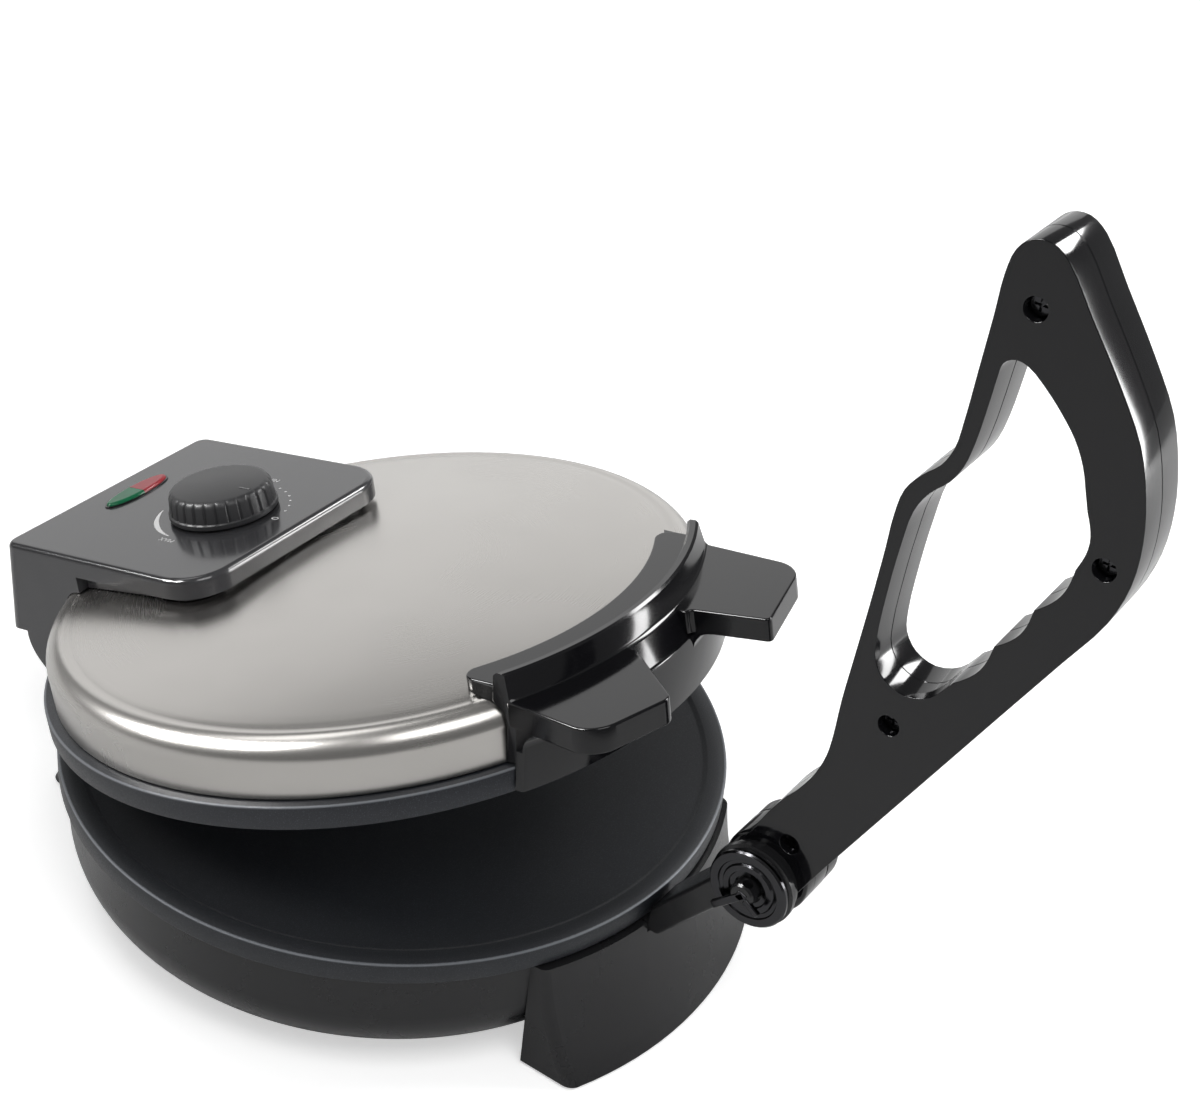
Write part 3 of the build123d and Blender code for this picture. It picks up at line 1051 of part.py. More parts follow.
def knob():
    """Fluted dial knob with a pointer groove on top and a D shaped bore."""
    z0 = BOX_TOP + KNOB_LIFT
    z1 = z0 + KNOB_H
    body = spun(rz_face([(0, z0), (KNOB_R - 0.8, z0), (KNOB_R, z0 + 0.8), (KNOB_R, z0 + 2.4),
                         (KNOB_TOP_R + 0.6, z1 - 2.4), (KNOB_TOP_R - 0.5, z1 - 0.6), (KNOB_TOP_R - 2.2, z1),
                         (0, z1)]))
    flute = Plane.XZ * make_face(Polyline((KNOB_R - 0.2, z0 + 2.6), (KNOB_R + 3, z0 + 2.6),
                                          (KNOB_R + 3, z1 - 1.9), (KNOB_TOP_R - 1.0, z1 - 1.9), close=True))
    flute = extrude(flute, 1.05, both=True)
    for index in range(KNOB_FLUTES):
        body -= Rot(0, 0, index * 360 / KNOB_FLUTES) * flute
    body = Pos(0, KNOB_Y, 0) * body
    body -= block(-0.8, 0.8, KNOB_Y - KNOB_TOP_R + 1.6, KNOB_Y - 8, z1 - 0.6, z1 + 1)
    shaft_top = z1 - 2.5
    bore = rod_z(KNOB_SHAFT_R + 0.02, z0 - 1, shaft_top, 0, KNOB_Y)
    bore -= block(-5, 5, KNOB_Y + 1.92, KNOB_Y + 5, z0, 80)
    ring = rod_z(KNOB_R - 3.4, z0 - 1, z0 + 6.5, 0, KNOB_Y) - rod_z(6.2, z0 - 2, z0 + 7, 0, KNOB_Y)
    return body - bore - ring


def box_screws():
    """Four screws driven up from inside the steel lid into the box."""
    screws = []
    for x, y in box_screw_points():
        under = dome_z(hypot(x, y)) - SHELL_T - 0.5
        screws.append(rod_z(3.2, under - 2.2, under, x, y) + rod_z(1.5, under, under + 8.0, x, y))
    return Compound(children=screws)


def box_rear_cover():
    """Plate that closes the box from below between the hinge ribs."""
    cover = box_prism(BOX_WALL + 0.2, BOX_FOOT, LIP_BOTTOM + 1)
    half = CHEEK_IN_X - LUG_PLAY
    cover &= block(-half, half, LIP_END_Y, BOX_REAR_Y + 30, BOX_FOOT, BOX_FOOT + 1.8)
    return cover - rod_z(UPPER_PLATE_R + 1.2, 0, 30, 0, 0)


def cord_gland():
    """Strain relief bush in the rear wall."""
    body = Pos(0, 0, 1.6) * Cylinder(GLAND_R + 2.2, 3.0) + Pos(0, 0, -4.0) * Cylinder(GLAND_R, 9.0)
    body += Pos(0, 0, 6.5) * Cone(GLAND_R, GLAND_R - 1.4, 7.0)
    return gland_place() * (body - Cylinder(3.4, 60))


# ================================================================ assembly
def collect():
    """Every node, with the lid pieces swung to the rest position."""
    put("housing", housing())
    put("foot_covers", foot_covers())
    put("foot_pads", foot_pads())
    put("lower_plate", Pos(0, 0, RIM_TOP_Z) * plate_solid(PLATE_R, PLATE_RIM_T, False))
    put("lower_heater", Pos(0, 0, RIM_TOP_Z) * heater_solid(False))
    put("lower_heat_shield", Pos(0, 0, RIM_TOP_Z) * heater_shield(False))
    bolts, tubes = lower_bolts_and_spacers()
    put("lower_plate_bolts", bolts)
    put("lower_plate_spacers", tubes)
    put("lever_arm", lever_arm())
    put("lever_arm_screws", arm_screws())
    put("pivot_bolt", pivot_bolt())
    put("pivot_cap", pivot_cap())
    put("split_pin", split_pin())
    put("lever_half_near", lever_half(True))
    put("lever_half_far", lever_half(False))
    put("lever_core", lever_core())
    put("lever_bush", lever_bush())
    put("lever_screws", lever_screws())
    put("hinge_bracket", hinge_bracket())
    put("hinge_bracket_screws", hinge_bracket_screws())
    put("hinge_pins", hinge_pins())
    lid_pieces = {
        "lid_shell": lid_shell(),
        "lid_posts": lid_posts(),
        "upper_plate": plate_solid(UPPER_PLATE_R, UPPER_RIM_T, True),
        "upper_heater": heater_solid(True),
        "upper_heat_shield": heater_shield(True),
        "lid_handle": lid_handle(),
        "handle_screws": handle_screws(),
        "control_box": control_box(),
        "box_screws": box_screws(),
        "box_rear_cover": box_rear_cover(),
        "lens_green": lens(-1),
        "lens_red": lens(1),
        "lamp_holder": lamp_holder(),
        "thermostat_body": thermostat_body(),
        "thermostat_shaft": thermostat_shaft(),
        "knob": knob(),
        "cord_gland": cord_gland(),
    }
    for name, shape in lid_pieces.items():
        put(name, opened(shape))


def finish():
    """Move the set over the origin and write one STEP file for each node."""
    collect()
    boxes = [shape.bounding_box() for shape in PARTS.values()]
    low = [min(tuple(box.min)[axis] for box in boxes) for axis in range(3)]
    high = [max(tuple(box.max)[axis] for box in boxes) for axis in range(3)]
    shift = Pos(-(low[0] + high[0]) / 2, -(low[1] + high[1]) / 2, -low[2])
    os.makedirs("parts", exist_ok=True)
    for name, shape in PARTS.items():
        export_step(shift * shape, f"parts/{name}.step")
    offset_y = -(low[1] + high[1]) / 2
    print("low", low, "high", high, "nodes", len(PARTS))
    print("shift", -(low[0] + high[0]) / 2, offset_y, -low[2])
    print("pivot", PIVOT_Y + offset_y, PIVOT_Z - low[2])
    print("hinge", HINGE_Y + offset_y, HINGE_Z - low[2])
    knob_base = opened(Pos(0, KNOB_Y, BOX_TOP) * Box(0.01, 0.01, 0.01)).center()
    print("knob", knob_base.X, knob_base.Y + offset_y, knob_base.Z - low[2])


finish()
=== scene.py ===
"""Electric roti maker: finishes, printed dial marks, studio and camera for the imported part.

Lengths are in metres in the part's own frame: -Y is the front with the press lever, +Y the hinge, +Z up.
"""

import json
import logging
import math
from dataclasses import dataclass, field
from enum import Enum

import bmesh
import bpy
from mathutils import Matrix, Vector


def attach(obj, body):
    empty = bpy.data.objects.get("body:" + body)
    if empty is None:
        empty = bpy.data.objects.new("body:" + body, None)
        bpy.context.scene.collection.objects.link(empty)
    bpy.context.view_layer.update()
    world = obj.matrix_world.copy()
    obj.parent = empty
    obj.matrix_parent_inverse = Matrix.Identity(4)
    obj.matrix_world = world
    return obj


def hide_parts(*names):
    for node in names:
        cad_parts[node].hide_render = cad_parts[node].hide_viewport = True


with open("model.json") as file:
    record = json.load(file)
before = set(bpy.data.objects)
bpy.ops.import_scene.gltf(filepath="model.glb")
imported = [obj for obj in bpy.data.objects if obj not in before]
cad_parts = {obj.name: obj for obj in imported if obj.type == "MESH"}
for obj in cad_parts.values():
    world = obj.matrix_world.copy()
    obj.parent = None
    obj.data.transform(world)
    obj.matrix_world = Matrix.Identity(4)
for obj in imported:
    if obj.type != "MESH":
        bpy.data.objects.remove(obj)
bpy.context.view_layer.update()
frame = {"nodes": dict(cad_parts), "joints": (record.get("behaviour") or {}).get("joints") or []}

LOG = logging.getLogger("roti_maker")
Pair = tuple[float, float]
Triple = tuple[float, float, float]
Colour = Triple
Outline = list[Pair]


# ------------------------------------------------------------------ places
def joint_place(name: str) -> Vector:
    """Where a joint's axis lies.

    Args:
        name: joint name.

    Returns:
        The point on its axis, in metres.
    """
    return Vector(next(joint["pos_m"] for joint in frame["joints"] if joint["name"] == name))


@dataclass(frozen=True)
class Places:
    """Where the main axes of the machine lie in the part's frame, in metres."""

    hinge: Vector = field(default_factory=lambda: joint_place("lid_hinge"))
    pivot: Vector = field(default_factory=lambda: joint_place("lever_pivot"))
    hinge_from_plate: float = 0.138
    rim_z: float = 0.0632
    lid_lift: float = 0.0023
    lid_back: float = 0.0012
    lid_open_deg: float = 14.9
    knob_y: float = 0.0775
    lens_x: float = 0.0010
    lens_y: float = 0.1309
    box_top: float = 0.0491

    @property
    def plate_y(self) -> float:
        """Middle of the lower plate along Y."""
        return self.hinge.y - self.hinge_from_plate

    def lid_matrix(self) -> Matrix:
        """Places a point of the shut lid (height above its rim plane) where it is at rest.

        Returns:
            The transform from lid coordinates to the part's frame.
        """
        shut = Matrix.Translation((0.0, self.plate_y + self.lid_back, self.rim_z + self.lid_lift))
        pin = Matrix.Translation(self.hinge)
        swing = pin @ Matrix.Rotation(math.radians(-self.lid_open_deg), 4, "X") @ pin.inverted()
        return swing @ shut

    def base_matrix(self) -> Matrix:
        """Places a point given from the middle of the lower plate's rim plane."""
        return Matrix.Translation((0.0, self.plate_y, self.rim_z))

    def box_matrix(self, x: float, y: float) -> Matrix:
        """Places a piece on top of the control box, at x and y of the shut lid."""
        return self.lid_matrix() @ Matrix.Translation((x, y, self.box_top))

    def pivot_matrix(self, x: float) -> Matrix:
        """Places a piece on the lever's axis, at x."""
        return Matrix.Translation((x, self.pivot.y, self.pivot.z))


PLACES = Places()


class Body(Enum):
    """The moving groups of the machine."""

    BASE = "base"
    LID = "lid"
    DIAL = "dial"
    LEVER = "lever"


# ------------------------------------------------------------------ shader tools
class Wire:
    """A value in a node tree: arithmetic on it adds Math nodes."""

    def __init__(self, kit: "Nodes", source: bpy.types.NodeSocket) -> None:
        """Args:
            kit: maker of the tree that the value belongs to.
            source: output socket that carries the value.
        """
        self.kit = kit
        self.source = source

    def _join(self, operation: str, other: "Wire | float", swap: bool = False) -> "Wire":
        """Adds one Math node.

        Args:
            operation: name of the Math operation.
            other: second operand.
            swap: whether the operands change places.

        Returns:
            The result.
        """
        pair = (other, self) if swap else (self, other)
        return self.kit.node("ShaderNodeMath", {"operation": operation}, {0: pair[0], 1: pair[1]})

    def __add__(self, other: "Wire | float") -> "Wire":
        """Sum."""
        return self._join("ADD", other)

    __radd__ = __add__

    def __sub__(self, other: "Wire | float") -> "Wire":
        """Difference."""
        return self._join("SUBTRACT", other)

    def __rsub__(self, other: "Wire | float") -> "Wire":
        """Difference with the operands changed over."""
        return self._join("SUBTRACT", other, swap=True)

    def __mul__(self, other: "Wire | float") -> "Wire":
        """Product."""
        return self._join("MULTIPLY", other)

    __rmul__ = __mul__


class Nodes:
    """Adds nodes to one node tree."""

    def __init__(self, tree: bpy.types.NodeTree) -> None:
        """Args:
            tree: tree that the nodes belong to.
        """
        self.tree = tree

    def node(self, kind: str, settings: dict | None = None, inputs: dict | None = None,
             output: int | str = 0) -> Wire:
        """Adds one node.

        Args:
            kind: Blender node type.
            settings: attributes set on the node before its sockets.
            inputs: values or wires by socket name or index.
            output: socket to return.

        Returns:
            The chosen output.
        """
        made = self.tree.nodes.new(kind)
        for key, value in (settings or {}).items():
            setattr(made, key, value)
        for key, value in (inputs or {}).items():
            self.feed(made.inputs[key], value)
        return Wire(self, made.outputs[output])

    def feed(self, socket: bpy.types.NodeSocket, value: object) -> None:
        """Sets or links one input socket.

        Args:
            socket: input to fill.
            value: wire, number, vector, or colour without its alpha.
        """
        if isinstance(value, Wire):
            self.tree.links.new(value.source, socket)
        elif isinstance(value, tuple) and len(value) == 3 and socket.type == "RGBA":
            socket.default_value = (*value, 1.0)
        else:
            socket.default_value = value


class Recipe(Nodes):
    """Builds the node tree of one material."""

    def __init__(self, name: str) -> None:
        """Args:
            name: material name.
        """
        self.material = bpy.data.materials.new(name)
        self.material.use_nodes = True
        super().__init__(self.material.node_tree)
        self.shader = self.tree.nodes["Principled BSDF"]

    def principled(self, **values: object) -> None:
        """Feeds the main shader; underscores in a name stand for spaces."""
        for name, value in values.items():
            self.feed(self.shader.inputs[name.replace("_", " ")], value)

    def mapping(self, point: Wire, **values: object) -> Wire:
        """Moves, turns or stretches coordinates."""
        return self.node("ShaderNodeMapping", {"vector_type": "POINT"}, {"Vector": point, **values})

    def place(self, matrix: Matrix | None = None, scale: Triple | None = None) -> Wire:
        """Object coordinates, moved into a frame of their own.

        Args:
            matrix: frame that the pattern follows.
            scale: stretch of the pattern along its axes.

        Returns:
            The coordinate vector.
        """
        point = self.node("ShaderNodeTexCoord", output="Object")
        if matrix is not None:
            back = matrix.inverted()
            point = self.mapping(point, Location=back.to_translation(), Rotation=back.to_euler())
        if scale is not None:
            point = self.mapping(point, Scale=scale)
        return point

    def noise(self, point: Wire, scale: float, detail: float = 3.0, rough: float = 0.55) -> Wire:
        """Noise between nought and one."""
        return self.node("ShaderNodeTexNoise", {"noise_dimensions": "3D"},
                         {"Vector": point, "Scale": scale, "Detail": detail, "Roughness": rough})

    def rings(self, point: Wire, scale: float, detail: float, rough: float) -> tuple[Wire, Wire]:
        """Noise that changes only with the distance from the Z axis, like marks of turning.

        Args:
            point: coordinates whose Z axis is the axis of the rings.
            scale: how close the rings are.
            detail: layers of finer rings.
            rough: weight of the finer rings.

        Returns:
            The distance from the axis, and the rings.
        """
        flat = self.node("ShaderNodeVectorMath", {"operation": "MULTIPLY"},
                         {0: point, 1: (1.0, 1.0, 0.0)})
        radius = self.node("ShaderNodeVectorMath", {"operation": "LENGTH"}, {0: flat}, output="Value")
        rings = self.node("ShaderNodeTexNoise", {"noise_dimensions": "1D"},
                          {"W": radius, "Scale": scale, "Detail": detail, "Roughness": rough})
        return radius, rings

    def span(self, value: Wire, low: float, high: float, out_low: float, out_high: float) -> Wire:
        """Stretches a value from one range to another, held at the ends."""
        return self.node("ShaderNodeMapRange", {"clamp": True},
                         {"Value": value, "From Min": low, "From Max": high,
                          "To Min": out_low, "To Max": out_high})

    def blend(self, factor: Wire | float, first: object, second: object) -> Wire:
        """Mixes two colours."""
        return self.node("ShaderNodeMix", {"data_type": "RGBA"}, {0: factor, 6: first, 7: second},
                         output=2)

    def bump(self, height: Wire, strength: float, depth: float) -> Wire:
        """Normal raised by a height field."""
        return self.node("ShaderNodeBump", None,
                         {"Height": height, "Strength": strength, "Distance": depth})


# ------------------------------------------------------------------ finishes
FINE_DEPTH = 0.0002  # depth of grit and turning marks in the bump of a finish


def shaded(colour: Colour, share: float) -> Colour:
    """The colour at a share of its brightness."""
    return tuple(part * share for part in colour)


@dataclass(frozen=True)
class Moulding:
    """Glossy or satin moulded plastic with faint flow marks and handling haze."""

    name: str
    colour: Colour
    rough: float
    haze: float = 0.05
    grain: float = 0.0
    shine: float = 0.5
    grain_scale: float = 900.0
    cloud_scale: float = 22.0
    smear_scale: float = 260.0
    flow_scale: float = 14.0
    flow_bump: float = 0.04
    depth: float = 0.0004
    tint_range: Pair = (0.92, 1.12)

    def make(self) -> bpy.types.Material:
        """Returns:
            The material.
        """
        kit = Recipe(self.name)
        point = kit.place()
        cloud = kit.noise(point, self.cloud_scale, 4.0)
        smear = kit.noise(point, self.smear_scale, 2.0)
        tint = kit.node("ShaderNodeVectorMath", {"operation": "SCALE"},
                        {0: self.colour, "Scale": kit.span(cloud, 0.35, 0.75, *self.tint_range)})
        haze = kit.span(cloud, 0.4, 0.8, self.rough, self.rough + self.haze) + smear * (self.haze * 0.4)
        relief = kit.noise(point, self.flow_scale, 2.0) * 0.6
        if self.grain:
            relief = relief * 0.3 + kit.noise(point, self.grain_scale, 2.0)
        kit.principled(Base_Color=tint, Roughness=haze, Specular_IOR_Level=self.shine,
                       Normal=kit.bump(relief, self.grain or self.flow_bump, self.depth))
        return kit.material


@dataclass(frozen=True)
class SpunSteel:
    """Satin sheet steel with fine concentric turning marks about the lid's axis."""

    name: str
    colour: Colour
    rough: float
    matrix: Matrix
    haze: float = 0.05
    marks: float = 0.03
    mark_scale: float = 1900.0
    mark_bump: float = 0.002
    smear_scale: float = 9.0
    smear_share: float = 0.95

    def make(self) -> bpy.types.Material:
        """Returns:
            The material.
        """
        kit = Recipe(self.name)
        point = kit.place(self.matrix)
        _, rings = kit.rings(point, self.mark_scale, 4.0, 0.7)
        smear = kit.noise(point, self.smear_scale, 3.0)
        haze = kit.span(smear, 0.35, 0.7, self.rough, self.rough + self.haze) + rings * self.marks
        tint = kit.blend(kit.span(smear, 0.3, 0.75, 0.0, 1.0), self.colour,
                         shaded(self.colour, self.smear_share))
        kit.principled(Base_Color=tint, Metallic=1.0, Roughness=haze,
                       Normal=kit.bump(rings, self.mark_bump, FINE_DEPTH))
        return kit.material


@dataclass(frozen=True)
class CastPlate:
    """Dark non-stick coating over cast aluminium: fine grit, faint rings, a paler line at the rim's
    edge, partly rubbed bare metal and partly a painted highlight.
    """

    name: str
    colour: Colour
    matrix: Matrix
    rim: float
    edge_height: float = 0.0
    rough: float = 0.42
    metal: float = 0.2
    # The next two fields set the strength and colour of the paler rim line: partly rubbed bare metal,
    # partly a painted highlight.
    rim_wear_and_highlight: float = 0.45
    edge: Colour = (0.30, 0.32, 0.35)
    grit_scale: float = 1500.0
    grit_bump: float = 0.16
    speck_scale: float = 2300.0
    ring_scale: float = 900.0

    def make(self) -> bpy.types.Material:
        """Returns:
            The material.
        """
        kit = Recipe(self.name)
        point = kit.place(self.matrix)
        radius, rings = kit.rings(point, self.ring_scale, 3.0, 0.6)
        grit = kit.noise(point, self.grit_scale, 2.0, 0.6)
        specks = kit.span(kit.noise(point, self.speck_scale, 1.0), 0.60, 0.7, 0.0, 0.5)
        base = kit.blend(specks, self.colour, tuple(min(1.0, part * 2.6 + 0.02) for part in self.colour))
        height = kit.node("ShaderNodeSeparateXYZ", None, {"Vector": point}, output="Z")
        # Paler line along the rim at edge_height: partly rubbed bare metal, partly a painted highlight.
        rim_wear_and_highlight = kit.span(radius + grit * 0.0006, self.rim - 0.0002, self.rim + 0.0003, 0.0, self.rim_wear_and_highlight)
        off_edge = kit.node("ShaderNodeMath", {"operation": "ABSOLUTE"}, {0: height - self.edge_height})
        base = kit.blend(rim_wear_and_highlight * kit.span(off_edge, 0.0003, 0.0007, 1.0, 0.0), base, self.edge)
        haze = kit.span(grit, 0.3, 0.7, self.rough - 0.06, self.rough + 0.1) + rings * 0.05
        kit.principled(Base_Color=base, Metallic=self.metal, Roughness=haze,
                       Normal=kit.bump(grit + rings * 0.4, self.grit_bump, FINE_DEPTH))
        return kit.material


@dataclass(frozen=True)
class Metal:
    """Plain machined or plated metal with fine scratches."""

    name: str
    colour: Colour
    rough: float
    scratch: float = 0.06
    scratch_scale: float = 60.0
    scratch_bump: float = 0.03
    stretch: Triple = (40.0, 1.0, 1.0)

    def make(self) -> bpy.types.Material:
        """Returns:
            The material.
        """
        kit = Recipe(self.name)
        lines = kit.noise(kit.place(scale=self.stretch), self.scratch_scale, 4.0)
        kit.principled(Base_Color=kit.blend(lines, self.colour, shaded(self.colour, 0.85)), Metallic=1.0,
                       Roughness=kit.span(lines, 0.3, 0.7, self.rough, self.rough + self.scratch),
                       Normal=kit.bump(lines, self.scratch_bump, FINE_DEPTH))
        return kit.material


@dataclass(frozen=True)
class Lens:
    """Tinted plastic over a pale reflector."""

    name: str
    colour: Colour
    rough: float = 0.14
    shine: float = 0.22
    rib_scale: float = 120.0

    def make(self) -> bpy.types.Material:
        """Returns:
            The material.
        """
        kit = Recipe(self.name)
        ribs = kit.span(kit.noise(kit.place(), self.rib_scale, 2.0), 0.35, 0.65, 0.0, 1.0)
        kit.principled(Base_Color=kit.blend(ribs, self.colour, shaded(self.colour, 0.8)),
                       Roughness=self.rough, Specular_IOR_Level=self.shine)
        return kit.material


@dataclass(frozen=True)
class Paint:
    """Screen printed ink."""

    name: str
    colour: Colour
    rough: float = 0.5
    grain_scale: float = 900.0

    def make(self) -> bpy.types.Material:
        """Returns:
            The material.
        """
        kit = Recipe(self.name)
        grain = kit.noise(kit.place(), self.grain_scale, 2.0)
        kit.principled(Base_Color=kit.blend(grain, self.colour, shaded(self.colour, 0.9)),
                       Roughness=self.rough)
        return kit.material


MADE: dict[str, bpy.types.Material] = {}


class Finish(Enum):
    """Every finish on the machine."""

    BODY_BLACK = Moulding("body_black", (0.005, 0.005, 0.006), 0.09, 0.03, shine=0.38)
    BOWL_BLACK = Moulding("bowl_black", (0.010, 0.010, 0.011), 0.24, 0.06, shine=0.34)
    LEVER_BLACK = Moulding("lever_black", (0.005, 0.005, 0.006), 0.09, 0.03, shine=0.38)
    BOX_GREY = Moulding("box_grey", (0.040, 0.040, 0.043), 0.14, 0.04, shine=0.60)
    KNOB_BLACK = Moulding("knob_black", (0.022, 0.022, 0.024), 0.38, 0.05, shine=0.4, grain=0.05)
    RUBBER = Moulding("rubber_black", (0.020, 0.020, 0.020), 0.75, 0.1, grain=0.2)
    WHITE_PLASTIC = Moulding("holder_white", (0.75, 0.75, 0.72), 0.45, 0.05)
    ARM_PAINT = Moulding("arm_paint", (0.012, 0.012, 0.013), 0.22, 0.06, shine=0.4)
    LENS_RIM = Moulding("lens_rim", (0.010, 0.010, 0.011), 0.20, 0.03)
    LID_STEEL = SpunSteel("lid_steel", (0.47, 0.455, 0.435), 0.23, PLACES.lid_matrix())
    PLATE_LOW = CastPlate("plate_lower", (0.012, 0.014, 0.018), PLACES.base_matrix(), 0.1363)
    PLATE_UP = CastPlate("plate_upper", (0.014, 0.016, 0.021), PLACES.lid_matrix(), 0.1348, 0.0099)
    SHEET = Metal("sheet_steel", (0.55, 0.55, 0.54), 0.32)
    SCREW = Metal("screw_steel", (0.60, 0.60, 0.60), 0.24)
    # Dark steel of the pivot cap and pin; on the lever's screws its darkness is also painted shade in
    # their holes.
    DARK_STEEL_AND_HOLE_SHADE = Metal("dark_steel_and_hole_shade", (0.050, 0.050, 0.053), 0.15)
    LENS_GREEN = Lens("lens_green", (0.010, 0.14, 0.060))
    LENS_RED = Lens("lens_red", (0.36, 0.035, 0.045))
    INK_WHITE = Paint("ink_white", (0.85, 0.85, 0.85))

    @property
    def material(self) -> bpy.types.Material:
        """Makes the material on first use.

        Returns:
            The material.
        """
        if self.name not in MADE:
            MADE[self.name] = self.value.make()
        return MADE[self.name]


CAD_FINISH: dict[Finish, tuple[str, ...]] = {
    Finish.BODY_BLACK: ("lid_handle", "box_rear_cover", "cord_gland"),
    Finish.BOWL_BLACK: ("housing", "foot_covers"),
    Finish.LEVER_BLACK: ("lever_half_near", "lever_half_far"),
    Finish.BOX_GREY: ("control_box",),
    Finish.KNOB_BLACK: ("knob",),
    Finish.RUBBER: ("foot_pads",),
    Finish.WHITE_PLASTIC: ("lamp_holder",),
    Finish.ARM_PAINT: ("lever_arm", "hinge_bracket", "pivot_bolt", "split_pin"),
    Finish.LID_STEEL: ("lid_shell",),
    Finish.PLATE_LOW: ("lower_plate",),
    Finish.PLATE_UP: ("upper_plate",),
    Finish.SHEET: ("lower_heat_shield", "upper_heat_shield", "lower_heater", "upper_heater",
                   "lid_posts", "lower_plate_spacers", "lever_core", "lever_bush",
                   "thermostat_body", "thermostat_shaft"),
    Finish.SCREW: ("lower_plate_bolts", "lever_arm_screws", "hinge_bracket_screws", "hinge_pins",
                   "handle_screws", "box_screws"),
    # The lever's screws take this dark finish so their holes read dark: painted shade in the holes.
    Finish.DARK_STEEL_AND_HOLE_SHADE: ("pivot_cap", "lever_screws"),
    Finish.LENS_GREEN: ("lens_green",),
    Finish.LENS_RED: ("lens_red",),
}


def dress_frame() -> None:
    """Gives every carried-over node its finish."""
    for finish, nodes in CAD_FINISH.items():
        for name in nodes:
            node = frame["nodes"].get(name)
            if node is None:
                LOG.warning("no node %s", name)
                continue
            for slot in node.material_slots:
                slot.material = finish.material


# ------------------------------------------------------------------ mesh tools
WELD = 1e-6  # points nearer than this become one
FINE_WELD = 1e-7  # the same while an outline is swept or cut
ORIGIN = (0.0, 0.0, 0.0)
UPWARD = (0.0, 0.0, 1.0)
MM_PER_M = 1000.0
FULL_BEND = 1.2  # radians; a wall stands on a flat face where the bend is more than this


